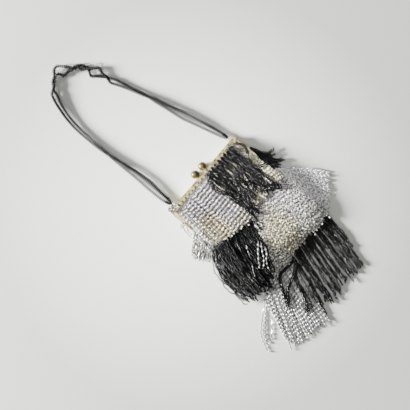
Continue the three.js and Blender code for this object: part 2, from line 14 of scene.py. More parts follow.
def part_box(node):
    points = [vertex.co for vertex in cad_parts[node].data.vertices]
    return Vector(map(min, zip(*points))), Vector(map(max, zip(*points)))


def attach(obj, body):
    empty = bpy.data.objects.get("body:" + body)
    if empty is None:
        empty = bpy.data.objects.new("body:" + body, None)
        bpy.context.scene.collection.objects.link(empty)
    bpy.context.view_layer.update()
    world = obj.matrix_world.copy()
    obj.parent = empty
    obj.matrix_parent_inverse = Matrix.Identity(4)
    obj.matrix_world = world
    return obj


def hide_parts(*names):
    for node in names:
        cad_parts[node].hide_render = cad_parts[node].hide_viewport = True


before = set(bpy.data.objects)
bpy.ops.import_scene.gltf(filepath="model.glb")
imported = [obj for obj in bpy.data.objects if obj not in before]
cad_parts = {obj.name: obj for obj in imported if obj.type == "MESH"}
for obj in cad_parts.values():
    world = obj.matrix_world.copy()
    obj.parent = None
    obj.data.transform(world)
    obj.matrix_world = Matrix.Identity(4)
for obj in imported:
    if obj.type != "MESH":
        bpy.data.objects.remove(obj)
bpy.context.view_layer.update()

bl_info = {
    "name": "Beaded evening bag",
    "version": (1, 0, 0),
    "blender": (4, 5, 0),
    "location": "3D View > Sidebar > Evening bag",
    "description": "Dresses a kiss-lock evening bag in bead fringe, gilt brass and crepe",
    "category": "Object",
}

MM = 0.001

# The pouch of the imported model: its half width, its drop from the sewing line to the bottom seam,
# and the height of that line, in millimetres
HALF_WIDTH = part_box("pouch")[1].x / MM
SEWING_LINE = -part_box("pouch")[0].y / MM
DROP = 2 * SEWING_LINE
BOTTOM = -SEWING_LINE
FRAME_TOP = SEWING_LINE + 3
FRAME_MIDDLE = 7.6
FLANGE_FACE = 13.7
HOLE_LINE = 99.1
HOLE_PITCH = 8.5
HOLES_EACH_SIDE = 8

# The stitches between the sewing holes: x from the hole where one starts and where it is fully out,
# how far its ends are sunk and its middle stands out, and its radius, then the knot in each hole
STITCH_START = 1.3
STITCH_OUT = 2.1
STITCH_SUNK = 0.3
STITCH_PROUD = 0.4
STITCH_RADIUS = 0.55
# The knots are dark to paint the shade inside the sewing holes
HOLE_KNOT_RADIUS = 1.9
HOLE_KNOT_FLAT = 0.5
HOLE_KNOT_PROUD = 0.1

# The wires along the bar, above the flange's face, and the rings in the frame's ears
WIRE_ABOVE = 0.9
WIRE_HALF_LENGTH = 80
WIRE_RADIUS = 0.45
WIRE_LINES = (FRAME_TOP - 0.7, HOLE_LINE + 2.2)
EAR_OFFSET = 76
EAR_FROM_MIDDLE = 1.1
RING_RISE = 3.9
RING_RADIUS = 2.5
RING_LEAN = 0.25
RING_WIRE = 0.5

# The knobs: the ball, the foot that its stem points to, and the collar's radii, each with how far
# below the ball it lies
KNOB_RADIUS = 7.8
KNOB_OFFSET = 9.7
KNOB_FOOT_DROP = 1.7
KNOB_FOOT_OUT = 2.8
KNOB_RINGS = 26
COLLAR = ((2.5, 0.1), (2.7, 0.45), (1.9, 0.8))

# Sections of the pouch: y, half width, height of the back, height of the front, in millimetres
POUCH_SECTIONS = (
    (101.7, 80.7, 3.1, 12.1),
    (96.7, 80.7, 3.1, 12.1),
    (82.5, 80.7, 0.2, 16.7),
    (49.5, 80.7, 0, 20.2),
    (31.3, 85.7, 0, 21.3),
    (-0.7, 87, 0, 22),
    (-41.7, 87, 0, 21.6),
    (-73.6, 85.7, 0, 18),
    (-90.3, 81.8, 0, 13.2),
    (-97.9, 76.6, 0.9, 8.8),
    (-102.5, 71.3, 2.6, 6.6),
)
POUCH_CURVE = 2.6
BACK_EDGE = 7
LINING = 1.2
# The rows that its cloth is lofted through, closer together where it curves
POUCH_ROWS = (*np.linspace(101.7, 60, 10), *np.linspace(54, -86, 24), -92, -96, -99, -101.2, -102.3)
# The rows of small beads sewn on it, how far inside its edge they end, and how far above its front
# and its back their middles lie
SEWN_ROWS = np.arange(-96, 94, 4.2)
SEWN_INSET = 6
SEWN_ON_FRONT = 0.5
SEWN_ON_BACK = 1.25

# How the fringe lies on the pouch and on the tier below, in millimetres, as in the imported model
TIER = 5.3
ON_FLOOR = 0.2
OVER_CLOTH = 0.9
DRAPE_INSET = 10
DRAPE_SLOPE = 0.9
DRAPE_ROUND = 6
SEAM_HEIGHT = 8.6
OVER_FLARE = 5.9
BAND_HEIGHT = 1.2
LEAVES_BAND = 0.25
ARM_COVER = 14.2
# Shares of the drop where the upper and the middle tier start to climb over the one below, and the
# share over which they climb
UPPER_CLIMB = 0.33
MIDDLE_CLIMB = 0.79
CLIMB_LENGTH = 0.12

# Points along a strand of loose fringe, and along one that comes back up
STRAND_STEPS = 40
HAIRPIN_STEPS = 30
# How far strands that hang in bundles are drawn together, as a share
GATHERED = 0.85
# How far to each side of a bead's middle the strand is read for the way it points
AIM_REACH = 0.8
# How unevenly the strands of a block lie in height. Then, for strands that do line up: how far they
# are out of step from pair to pair and from strand to strand, and how bright every third strand is.
LIFT_SPREAD = 0.3
PAIR_STEP = 2.8
STRAND_STEP = 0.9
DIMMED = 0.45

# The stage, in metres and watts: the floor, the lamps with their place, size and power, which all
# aim at the bag's middle, and the camera's place over the floor with the photo's direction of up
FLOOR_HALF = 3.0
FLOOR_DROP = 0.0003
WORLD_STRENGTH = 0.3
LAMPS = (
    ("key_window", (-1.95, 2.29, 0.98), 0.8, 1060.0),
    ("top_softbox", (-0.3, 0.4, 2.4), 1.6, 24.0),
)
CAMERA_PLACE = (-0.039, 0.0659)
CAMERA_UP = (0.761, 0.648)


def linear(hex_colour):
    """An sRGB hex colour as the linear values that Blender's sockets take."""
    values = [int(hex_colour[i : i + 2], 16) / 255 for i in (0, 2, 4)]
    return tuple(v / 12.92 if v <= 0.04045 else ((v + 0.055) / 1.055) ** 2.4 for v in values)


def smooth(t):
    """Rises from 0 to 1 as t does, with no corner at either end."""
    t = np.clip(t, 0, 1)
    return t * t * (3 - 2 * t)


# Materials. A noise's scale is its grains to the millimetre over MM. A wave's is 1 / (20 * length * MM),
# which gives a band every 2 pi lengths.


def add_node(tree, kind, settings=None, values=None, links=None):
    """Adds a shader node with its settings, socket values and links from other sockets."""
    node = tree.nodes.new(kind)
    for name, value in (settings or {}).items():
        setattr(node, name, value)
    for name, value in (values or {}).items():
        node.inputs[name].default_value = value
    for name, socket in (links or {}).items():
        tree.links.new(socket, node.inputs[name])
    return node


def new_material(name):
    """A material with an empty node tree, its shader and the object's own coordinates."""
    material = bpy.data.materials.new(name)
    material.use_nodes = True
    tree = material.node_tree
    tree.nodes.clear()
    shader = add_node(tree, "ShaderNodeBsdfPrincipled")
    add_node(tree, "ShaderNodeOutputMaterial", links={"Surface": shader.outputs["BSDF"]})
    place = add_node(tree, "ShaderNodeTexCoord").outputs["Object"]
    return material, tree, shader, place


def set_shader(shader, **values):
    """Sets values on the shader's own sockets, named with underscores for spaces."""
    for name, value in values.items():
        shader.inputs[name.replace("_", " ")].default_value = value


def bead_glass(name, roughness, metallic=0.0, coat=0.0, specular=0.5):
    """Pressed glass beads: each bead's own colour comes from the mesh, and a fine mottle in the
    roughness stands for the fire-polished and the worn faces."""
    material, tree, shader, place = new_material(name)
    colour = add_node(tree, "ShaderNodeAttribute", {"attribute_name": "bead_colour"})
    mottle = add_node(
        tree, "ShaderNodeTexNoise", values={"Scale": 0.9 / MM, "Detail": 1.0}, links={"Vector": place}
    )
    rough = add_node(
        tree,
        "ShaderNodeMapRange",
        values={"To Min": roughness * 0.6, "To Max": roughness * 1.5},
        links={"Value": mottle.outputs["Fac"]},
    )
    tree.links.new(colour.outputs["Color"], shader.inputs["Base Color"])
    tree.links.new(rough.outputs["Result"], shader.inputs["Roughness"])
    set_shader(shader, Metallic=metallic, IOR=1.52, Specular_IOR_Level=specular)
    set_shader(shader, Coat_Weight=coat, Coat_Roughness=0.04)
    return material


def gilt_brass(colours):
    """Gilt brass, stamped and polished: warm pale gold, browner where the gilding is worn, with a
    fine brushed grain and a beaded edge that the stamp left."""
    material, tree, shader, place = new_material("gilt_brass_stamped")
    patches = add_node(
        tree, "ShaderNodeTexNoise", values={"Scale": 0.24 / MM, "Detail": 4.0}, links={"Vector": place}
    )
    tone = add_node(tree, "ShaderNodeValToRGB", links={"Fac": patches.outputs["Fac"]})
    tone.color_ramp.elements[0].position = 0.34
    tone.color_ramp.elements[0].color = (*colours.gilt_worn, 1)
    tone.color_ramp.elements[1].position = 0.6
    tone.color_ramp.elements[1].color = (*colours.gilt, 1)
    grain = add_node(
        tree, "ShaderNodeTexNoise", values={"Scale": 2.6 / MM, "Detail": 2.0}, links={"Vector": place}
    )
    stamped = add_node(
        tree,
        "ShaderNodeTexWave",
        {"bands_direction": "X"},
        {"Scale": 1 / (20 * 2.8 * MM), "Distortion": 0.0},
        {"Vector": place},
    )
    relief = add_node(
        tree,
        "ShaderNodeMath",
        {"operation": "MULTIPLY_ADD"},
        {1: 0.12},
        {0: grain.outputs["Fac"], 2: stamped.outputs["Fac"]},
    )
    bump = add_node(
        tree,
        "ShaderNodeBump",
        values={"Strength": 0.5, "Distance": 0.0004},
        links={"Height": relief.outputs["Value"]},
    )
    rough = add_node(
        tree,
        "ShaderNodeMapRange",
        values={"From Min": 0.3, "From Max": 0.7, "To Min": 0.42, "To Max": 0.22},
        links={"Value": patches.outputs["Fac"]},
    )
    tree.links.new(tone.outputs["Color"], shader.inputs["Base Color"])
    tree.links.new(rough.outputs["Result"], shader.inputs["Roughness"])
    tree.links.new(bump.outputs["Normal"], shader.inputs["Normal"])
    set_shader(shader, Metallic=1.0)
    return material


def bronze_enamel(colours):
    """Enamelled balls: bronze brown under a clear gloss, with the fine speckle of the metal showing
    through in darker spots."""
    material, tree, shader, place = new_material("bronze_enamel_gloss")
    speckle = add_node(
        tree, "ShaderNodeTexNoise", values={"Scale": 0.7 / MM, "Detail": 3.0}, links={"Vector": place}
    )
    tone = add_node(tree, "ShaderNodeValToRGB", links={"Fac": speckle.outputs["Fac"]})
    tone.color_ramp.elements[0].position = 0.38
    tone.color_ramp.elements[0].color = (*colours.knob_dark, 1)
    tone.color_ramp.elements[1].position = 0.64
    tone.color_ramp.elements[1].color = (*colours.knob, 1)
    tree.links.new(tone.outputs["Color"], shader.inputs["Base Color"])
    set_shader(shader, Metallic=0.4, Roughness=0.3, Coat_Weight=0.6, Coat_Roughness=0.05)
    return material


def crepe_cloth(colours):
    """Silk crepe: a matt pebbled weave with a faint sheen, drawn coarse enough to show, and creamier
    in the patches that have yellowed."""
    material, tree, shader, place = new_material("silk_crepe_cream")
    aged = add_node(
        tree, "ShaderNodeTexNoise", values={"Scale": 0.028 / MM, "Detail": 3.0}, links={"Vector": place}
    )
    tone = add_node(tree, "ShaderNodeValToRGB", links={"Fac": aged.outputs["Fac"]})
    tone.color_ramp.elements[0].position = 0.35
    tone.color_ramp.elements[0].color = (*colours.cloth_aged, 1)
    tone.color_ramp.elements[1].position = 0.65
    tone.color_ramp.elements[1].color = (*colours.cloth, 1)
    threads = [
        add_node(
            tree,
            "ShaderNodeTexWave",
            {"bands_direction": direction},
            {"Scale": 1 / (20 * 0.9 * MM), "Distortion": 1.2},
            {"Vector": place},
        ).outputs["Fac"]
        for direction in ("X", "Y")
    ]
    weave = add_node(
        tree, "ShaderNodeMath", {"operation": "MULTIPLY"}, links={0: threads[0], 1: threads[1]}
    )
    bump = add_node(
        tree,
        "ShaderNodeBump",
        values={"Strength": 0.55, "Distance": 0.0005},
        links={"Height": weave.outputs["Value"]},
    )
    tree.links.new(tone.outputs["Color"], shader.inputs["Base Color"])
    tree.links.new(bump.outputs["Normal"], shader.inputs["Normal"])
    set_shader(shader, Roughness=0.82, Sheen_Weight=0.35, Sheen_Roughness=0.4)
    return material


def waxed_thread(colours):
    """Waxed cotton thread: a soft gold cream with its twist showing as fine slanting bands."""
    material, tree, shader, place = new_material("waxed_cotton_thread")
    twist = add_node(
        tree,
        "ShaderNodeTexWave",
        {"bands_direction": "DIAGONAL"},
        {"Scale": 1 / (20 * 0.5 * MM), "Distortion": 0.6},
        {"Vector": place},
    )
    tone = add_node(tree, "ShaderNodeValToRGB", links={"Fac": twist.outputs["Fac"]})
    tone.color_ramp.elements[0].color = (*(0.6 * v for v in colours.thread), 1)
    tone.color_ramp.elements[1].color = (*colours.thread, 1)
    tree.links.new(tone.outputs["Color"], shader.inputs["Base Color"])
    set_shader(shader, Roughness=0.55, Sheen_Weight=0.2)
    return material


def hole_shade_silk():
    """Dark brown silk sewing thread, wound into small knots: matt, with a fine twist. Its dark colour is
    also a painted shade, standing for the shadow inside the frame's sewing holes.
    """
    material, tree, shader, place = new_material("dark_silk_thread")
    twist = add_node(
        tree, "ShaderNodeTexNoise", values={"Scale": 1.8 / MM}, links={"Vector": place}
    )
    tone = add_node(tree, "ShaderNodeValToRGB", links={"Fac": twist.outputs["Fac"]})
    tone.color_ramp.elements[0].color = (*linear("140f08"), 1)
    tone.color_ramp.elements[1].color = (*linear("2c2216"), 1)
    tree.links.new(tone.outputs["Color"], shader.inputs["Base Color"])
    set_shader(shader, Roughness=0.6, Sheen_Weight=0.2)
    return material


def matt_paper(colours):
    """The matt paper that the bag lies on, its colour carrying a painted light fall-off: pale under the
    camera, painted shade towards the edges.
    """
    material, tree, shader, place = new_material("matt_paper_floor")
    centred = add_node(
        tree,
        "ShaderNodeMapping",
        values={"Location": (0.104, -0.175, 0.0), "Scale": (2.66, 2.66, 2.66)},
        links={"Vector": place},
    )
    # A painted light fall-off on the paper, centred under the camera
    painted_light_falloff = add_node(
        tree,
        "ShaderNodeTexGradient",
        {"gradient_type": "SPHERICAL"},
        links={"Vector": centred.outputs["Vector"]},
    )
    tone = add_node(tree, "ShaderNodeValToRGB", links={"Fac": painted_light_falloff.outputs["Fac"]})
    tone.color_ramp.elements[0].color = (*colours.floor_painted_shade, 1)
    tone.color_ramp.elements[1].color = (*colours.floor, 1)
    tree.links.new(tone.outputs["Color"], shader.inputs["Base Color"])
    set_shader(shader, Roughness=0.95, Specular_IOR_Level=0.1)
    return material


# Where things lie


def plan(shares):
    """Points given as shares across the pouch and down its drop, in millimetres."""
    shares = np.asarray(shares, float)
    return np.stack(
        [shares[..., 0] * HALF_WIDTH, SEWING_LINE - shares[..., 1] * DROP], axis=-1
    )


def section_at(y):
    """The pouch's half width and the heights of its back and front at y, in millimetres."""
    rows = np.array(POUCH_SECTIONS)[::-1]
    return [np.interp(y, rows[:, 0], rows[:, column]) for column in (1, 2, 3)]


def pouch_top(x, y):
    """The height of the pouch's front above the surface, and 0 outside it."""
    half, back, front = section_at(y)
    inside = (np.abs(x) < half) & (y >= POUCH_SECTIONS[-1][0]) & (y <= POUCH_SECTIONS[0][0])
    crown = np.clip(1 - (np.abs(x) / half) ** POUCH_CURVE, 0, 1) ** (1 / POUCH_CURVE)
    return np.where(inside, (back + front) / 2 + (front - back) / 2 * crown, 0)


def drape(x, y):
    """The height at which a strand lies: on the pouch, then down its edge to the surface."""
    near_x = np.sign(x) * np.maximum(np.abs(x) - DRAPE_ROUND, 0)
    near_y = np.sign(y) * np.maximum(np.abs(y) - DRAPE_ROUND, 0)
    in_x = np.clip(near_x, DRAPE_INSET - HALF_WIDTH, HALF_WIDTH - DRAPE_INSET)
    in_y = np.clip(near_y, BOTTOM + DRAPE_INSET, POUCH_SECTIONS[0][0] - 0.4)
    past = np.hypot(near_x - in_x, near_y - in_y)
    edge = pouch_top(in_x, in_y) - DRAPE_SLOPE * past
    return np.maximum(np.maximum(pouch_top(near_x, near_y), edge), 0)


def rise(from_share, y):
    """How far a tier has climbed over the one below it."""
    return smooth((SEWING_LINE - from_share * DROP - y) / (DROP * CLIMB_LENGTH))


def on_pouch(x, y, t):
    """The underside of the upper tier."""
    return drape(x, y) + OVER_CLOTH + TIER * rise(UPPER_CLIMB, y)


def over_lower_tier(x, y, t):
    """The underside of the middle tier."""
    return np.maximum(drape(x, y), (TIER + 0.4) * rise(MIDDLE_CLIMB, y)) + OVER_CLOTH


def on_surface(x, y, t):
    """The underside of the lower tier, from its band down to the surface."""
    return BAND_HEIGHT + (ON_FLOOR - BAND_HEIGHT) * smooth(t / LEAVES_BAND)


def beside_pouch(x, y, t):
    """The underside of the fringe of a side seam: over the frame's arm, then down to the surface."""
    fall = DRAPE_SLOPE * np.maximum(np.abs(x) - HALF_WIDTH, 0)
    over_arm = ARM_COVER * smooth((y - 40) / 9) * smooth((np.abs(x) - 70) / 10)
    on_cloth = drape(x, y) + OVER_CLOTH
    return np.maximum.reduce([over_arm - fall, SEAM_HEIGHT - fall, on_cloth, x * 0 + ON_FLOOR])


def over_seam_fringe(x, y, t):
    """The underside of the black fringe of the right seam, which lies on the clear fringe."""
    return SEAM_HEIGHT + (OVER_FLARE - SEAM_HEIGHT) * smooth(t * 2)


# Strands. A route is rows of x and y in millimetres, then how far along the strand the row is.


def bezier(controls, steps):
    """Points along a curve that starts and ends at the outer control points."""
    t = np.linspace(0, 1, steps)[:, None]
    points = list(np.asarray(controls, float))
    while len(points) > 1:
        points = [a * (1 - t) + b * t for a, b in zip(points, points[1:])]
    return points[0]


def smooth_route(points, per_span):
    """A rounded route through all of the points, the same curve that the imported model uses."""
    p = np.asarray(points, float)
    p = np.vstack([2 * p[0] - p[1], p, 2 * p[-1] - p[-2]])
    gap = np.sqrt(np.linalg.norm(np.diff(p, axis=0), axis=1))
    t = np.linspace(0, 1, per_span, endpoint=False)[:, None]
    spans = []
    for i in range(1, len(p) - 2):
        a, b, c, d = p[i - 1 : i + 3]
        before, here, after = gap[i - 1 : i + 2]
        leave = ((b - a) / before - (c - a) / (before + here) + (c - b) / here) * here
        arrive = ((c - b) / here - (d - b) / (here + after) + (d - c) / after) * here
        cubic = 2 * (b - c) + leave + arrive
        spans.append(b + leave * t + (3 * (c - b) - 2 * leave - arrive) * t**2 + cubic * t**3)
    return np.vstack([*spans, p[-2][None]])


def running_length(route):
    """The length from a route's start to each of its points, in the plan."""
    return np.concatenate([[0], np.cumsum(np.hypot(*np.diff(route[:, :2], axis=0).T))])


def timed(points):
    """The points with a third column that runs from 0 at the root to 1 at the tip."""
    length = running_length(points)
    return np.column_stack([points[:, :2], length / max(length[-1], 1e-6)])


def sideways(route):
    """The unit directions across a plan route, to its left."""
    along = np.gradient(route[:, :2], axis=0)
    along /= np.maximum(np.linalg.norm(along, axis=1, keepdims=True), 1e-9)
    return np.stack([-along[:, 1], along[:, 0]], axis=1)


def shifted(route, offset):
    """The route moved sideways by an offset at each point."""
    moved = route.copy()
    moved[:, :2] += sideways(route) * np.reshape(offset, (-1, 1))
    return moved


def splayed(route, rng, much):
    """The route with its last bit turned aside, as the ends of loose strands lie."""
    return shifted(route, rng.normal(0, much) * smooth(route[:, 2] * 7 - 6) ** 2)


def shortened(route, much):
    """The route without its first few millimetres, which puts its rows of beads out of step."""
    length = running_length(route)
    return route[length >= much]


def wander(route, rng, amount):
    """The route with the slight sway that a loose strand has, growing towards its tip."""
    length = running_length(route)
    start = rng.uniform(0, 2 * np.pi, 2)
    sway = np.sin(length / 6 + start[0]) + 0.6 * np.sin(length / 2.4 + start[1])
    return shifted(route, amount * sway * (0.2 + 0.8 * route[:, 2]))


def guide_curves(guides):
    """The guides of a block as control points in millimetres, three to a guide."""
    return plan(np.array(guides, float).reshape(len(guides), 3, 2))


def stretched(controls, much):
    """Control points with the tip moved along the strand."""
    controls = controls.copy()
    reach = controls[-1] - controls[-2]
    controls[-1] += reach / max(np.linalg.norm(reach), 1e-6) * much
    return controls


def combed(guides, count, rng, amount, ragged, root_ragged=0.0, bundles=0):
    """Strands that fill the ground between the given guides. A guide is three points in shares: the
    root, the point that it leans towards, and the tip. Bundles is how many gaps part the strands."""
    curves = guide_curves(guides)
    places = (np.arange(count) + rng.uniform(-0.25, 0.25, count)) / max(count - 1, 1)
    places = np.clip(places, 0, 1)
    if bundles:
        turn = 2 * np.pi * bundles
        places = places - GATHERED * np.sin(turn * places) / turn
    places = places * (len(curves) - 1)
    routes = []
    for place in places:
        low = min(int(place), len(curves) - 2)
        controls = curves[low] + (curves[low + 1] - curves[low]) * (place - low)
        controls[0] += (0, rng.normal(0, root_ragged))
        route = timed(bezier(stretched(controls, rng.normal(0, ragged)), STRAND_STEPS))
        routes.append(wander(route, rng, amount))
    return routes


def bunched(guides, each, width, rng, amount, ragged, gather=0.4, opened=0.2, spent=1.0):
    """Strands in bunches, one bunch to a guide, gathered at the root, spreading below, and drawn
    together again at the tips where spent is under 1."""
    routes = []
    for guide in guide_curves(guides):
        opens = opened * rng.uniform(0.6, 1.3)
        wide = width * rng.uniform(0.75, 1.3)
        for place in (np.arange(each) + 0.5) / each - 0.5:
            route = timed(bezier(stretched(guide, rng.normal(0, ragged)), STRAND_STEPS))
            opening = gather + (1 - gather) * smooth(route[:, 2] / opens)
            closing = 1 - (1 - spent) * smooth(route[:, 2] * 2 - 1)
            route = shifted(route, (place + rng.uniform(-0.1, 0.1)) * wide * opening * closing)
            routes.append(wander(splayed(route, rng, 2.2), rng, amount))
    return routes


def hairpins(guides, width, apart, rng, amount, ragged):
    """Strands that go down to the tip and come back beside themselves, as looped fringe does, one
    near each guide."""
    routes = []
    for guide in guide_curves(guides):
        middle = timed(bezier(stretched(guide, rng.normal(0, ragged)), HAIRPIN_STEPS))
        middle = shifted(middle, rng.uniform(-0.1, 0.1) * width)
        half = apart * rng.uniform(0.5, 1.2) / 2 * np.sqrt(np.clip(1 - middle[:, 2] ** 8, 0, 1))
        middle = wander(splayed(middle, rng, 2.2), rng, amount)
        down = shifted(middle, half)
        back = shifted(middle, -half)
        routes.append(np.vstack([down, back[-2::-1]]))
    return routes


def laid(tables, rng, amount, offsets=(0,)):
    """Strands through listed points, each table a row of shares across and down, with one strand at each
    sideways offset in millimetres."""
    routes = []
    for table in tables:
        points = plan(np.array(table, float).reshape(-1, 2))
        middle = timed(smooth_route(points, 8))
        for offset in offsets:
            routes.append(wander(shifted(middle, offset + rng.normal(0, 0.3)), rng, amount))
    return routes


def raised(route, under, height):
    """A plan route at its height above what it lies on."""
    z = under(route[:, 0], route[:, 1], route[:, 2]) + height
    return np.column_stack([route[:, :2], z])


# Beads


def bead_shapes():
    """The three bead shapes, one unit long along X and one unit across, with few faces because
    each is repeated hundreds of times: (points, triangles, whether shaded smooth). A seed bead is
    fuller at its ends than a ball."""
    shapes = {}
    for kind in ("seed", "round", "bugle"):
        bm = bmesh.new()
        if kind == "bugle":
            bmesh.ops.create_cone(
                bm, cap_ends=True, segments=6, radius1=0.5, radius2=0.5, depth=1.0
            )
        else:
            sides, rings = (7, 4) if kind == "seed" else (8, 5)
            bmesh.ops.create_uvsphere(bm, u_segments=sides, v_segments=rings, radius=0.5)
        bmesh.ops.rotate(bm, verts=bm.verts, matrix=Matrix.Rotation(math.pi / 2, 3, "Y"))
        if kind == "seed":
            for v in bm.verts:
                from_axis = math.hypot(v.co.y, v.co.z)
                if from_axis < 0.1:
                    v.co.x *= 0.9
                elif from_axis < 0.45:
                    v.co.y *= 1.26
                    v.co.z *= 1.26
        bmesh.ops.triangulate(bm, faces=bm.faces)
        bm.verts.index_update()
        points = np.array([v.co for v in bm.verts])
        triangles = np.array([[v.index for v in f.verts] for f in bm.faces])
        shapes[kind] = (points, triangles, kind != "bugle")
        bm.free()
    return shapes


class Beadwork:
    """Beads that become one mesh: where each lies, which way it points, its size and colour."""

    def __init__(self, seed):
        self.rng = np.random.default_rng(seed)
        self.beads = {"seed": [], "round": [], "bugle": []}

    def thread(self, route, pattern, colour, start=0.0):
        """Threads beads along a route, repeating the pattern's rows. Colour gives each bead's
        colour from its kind and place."""
        step = np.linalg.norm(np.diff(route, axis=0), axis=1)
        length = np.concatenate([[0], np.cumsum(step)])
        uneven, *rows = pattern
        kinds, sizes, centres = [], [], []
        reached = start
        row = 0
        while True:
            kind, long, wide = rows[row % len(rows)]
            long *= 1 + self.rng.uniform(-uneven, uneven)
            if reached + long > length[-1]:
                break
            if kind:
                kinds.append(kind)
                centres.append(reached + long / 2)
                sizes.append((long, wide * (1 + self.rng.uniform(-uneven, uneven))))
            reached += long
            row += 1
        if not kinds:
            return
        centres = np.array(centres)

        def route_at(reached):
            return np.column_stack([np.interp(reached, length, route[:, i]) for i in range(3)])

        places = route_at(centres)
        along = route_at(centres + AIM_REACH) - route_at(centres - AIM_REACH)
        along /= np.maximum(np.linalg.norm(along, axis=1, keepdims=True), 1e-9)
        for i, kind in enumerate(kinds):
            shade = colour(kind, places[i], self.rng)
            self.beads[kind].append((*places[i], *along[i], *sizes[i], *shade))

    def build(self, name, material):
        """Makes the beads one mesh object, with each bead's colour as an attribute."""
        points, triangles, smooth_faces, colours = [], [], [], []
        first = 0
        for kind, (shape, faces, shaded) in bead_shapes().items():
            if not self.beads[kind]:
                continue
            rows = np.array(self.beads[kind])
            place, along, long, wide = rows[:, :3], rows[:, 3:6], rows[:, 6], rows[:, 7]
            side = np.cross(along, (0.02, 0.01, 1.0))
            side /= np.linalg.norm(side, axis=1, keepdims=True)
            up = np.cross(along, side)
            roll = self.rng.uniform(0, 2 * np.pi, len(rows))
            right = side * np.cos(roll)[:, None] + up * np.sin(roll)[:, None]
            top = up * np.cos(roll)[:, None] - side * np.sin(roll)[:, None]
            placed = (
                place[:, None]
                + along[:, None] * (shape[None, :, 0] * long[:, None])[..., None]
                + right[:, None] * (shape[None, :, 1] * wide[:, None])[..., None]
                + top[:, None] * (shape[None, :, 2] * wide[:, None])[..., None]
            )
            count = len(rows) * len(shape)
            points.append(placed.reshape(-1, 3))
            starts = first + np.arange(len(rows))[:, None, None] * len(shape)
            triangles.append((faces[None] + starts).reshape(-1, 3))
            smooth_faces.append(np.full(len(rows) * len(faces), shaded))
            shades = np.column_stack([rows[:, 8:11], np.ones(len(rows))])
            colours.append(np.repeat(shades, len(shape), axis=0))
            first += count
        mesh = bpy.data.meshes.new(name)
        mesh.from_pydata(np.vstack(points) * MM, [], np.vstack(triangles))
        mesh.polygons.foreach_set("use_smooth", np.concatenate(smooth_faces))
        attribute = mesh.color_attributes.new("bead_colour", "FLOAT_COLOR", "POINT")
        attribute.data.foreach_set("color", np.vstack(colours).astype(np.float32).ravel())
        mesh.materials.append(material)
        mesh.update()
        return new_object(name, mesh)


def new_object(name, mesh):
    """A new object for a mesh, in the scene."""
    piece = bpy.data.objects.new(name, mesh)
    bpy.context.scene.collection.objects.link(piece)
    return piece


def made_from(name, bm, material, shaded=True):
    """Turns a bmesh in millimetres into an object in metres with outward faces."""
    bmesh.ops.recalc_face_normals(bm, faces=bm.faces)
    bmesh.ops.scale(bm, vec=Vector((MM, MM, MM)), verts=bm.verts)
    mesh = bpy.data.meshes.new(name)
    bm.to_mesh(mesh)
    bm.free()
    mesh.materials.append(material)
    if shaded:
        mesh.shade_smooth()
    return new_object(name, mesh)


def tube(bm, route, radius, sides=8, closed=False):
    """Adds a round tube along a route to a bmesh, by bridging one ring to the next."""
    points = [Vector(p) for p in route]
    rings = []
    for i, point in enumerate(points):
        before = points[i - 1] if closed or i > 0 else point
        after = points[(i + 1) % len(points)] if closed or i + 1 < len(points) else point
        turn = (after - before).to_track_quat("Z", "Y").to_matrix().to_4x4()
        ring = bmesh.ops.create_circle(
            bm, segments=sides, radius=radius, matrix=Matrix.Translation(point) @ turn
        )["verts"]
        edges = {e for v in ring for e in v.link_edges}
        rings.append(list(edges))
    pairs = list(zip(rings, rings[1:]))
    if closed:
        pairs.append((rings[-1], rings[0]))
    for a, b in pairs:
        bmesh.ops.bridge_loops(bm, edges=a + b)
    if not closed:
        for ring in (rings[0], rings[-1]):
            bmesh.ops.contextual_create(bm, geom=ring)


# Bead patterns: how far the beads differ in size, as a share, then rows of kind, length and width in
# millimetres, where no kind is bare thread
SEED_PATTERN = (0.07, ("seed", 2.1, 2.8))
UNDER_PATTERN = (0.07, ("seed", 2.8, 2.9))
HANDLE_PATTERN = (0.05, ("seed", 3.3, 6.3))
FINE_CLEAR_PATTERN = (0.05, ("bugle", 3.4, 1.6), ("round", 2.2, 2.3))
SPACED_PATTERN = (0.08, ("seed", 2.4, 2.3), (None, 1.8, 0))
ARM_PATTERN = (0.08, ("seed", 1.7, 2.1))
ROW_PATTERN = (0.09, ("bugle", 3.9, 1.7), ("round", 3.1, 3.1))
CLEAR_PATTERN = (
    0.25,
    ("bugle", 2.7, 1.7),
    ("round", 2.2, 2.5),
    ("bugle", 3.5, 1.6),
    ("round", 2.6, 2.7),
    ("round", 2.1, 2.4),
)
FLARE_PATTERN = (
    0.25,
    ("bugle", 3.2, 1.8),
    ("round", 2.6, 2.8),
    ("bugle", 4.3, 1.7),
    ("round", 3.0, 3.1),
    ("round", 2.4, 2.6),
)
DOT_PATTERN = (0.15, ("round", 2.0, 2.3), (None, 4.1, 0))
LOOSE_PATTERN = (0.1, ("bugle", 4.8, 1.7), ("round", 3.4, 3.5))


def black_shade(colours):
    """Black glass, with the odd bead a little greyer."""
    black = np.array(colours.black_bead)

    def shade(kind, place, rng):
        return black * rng.uniform(0.5, 1.4)

    return shade


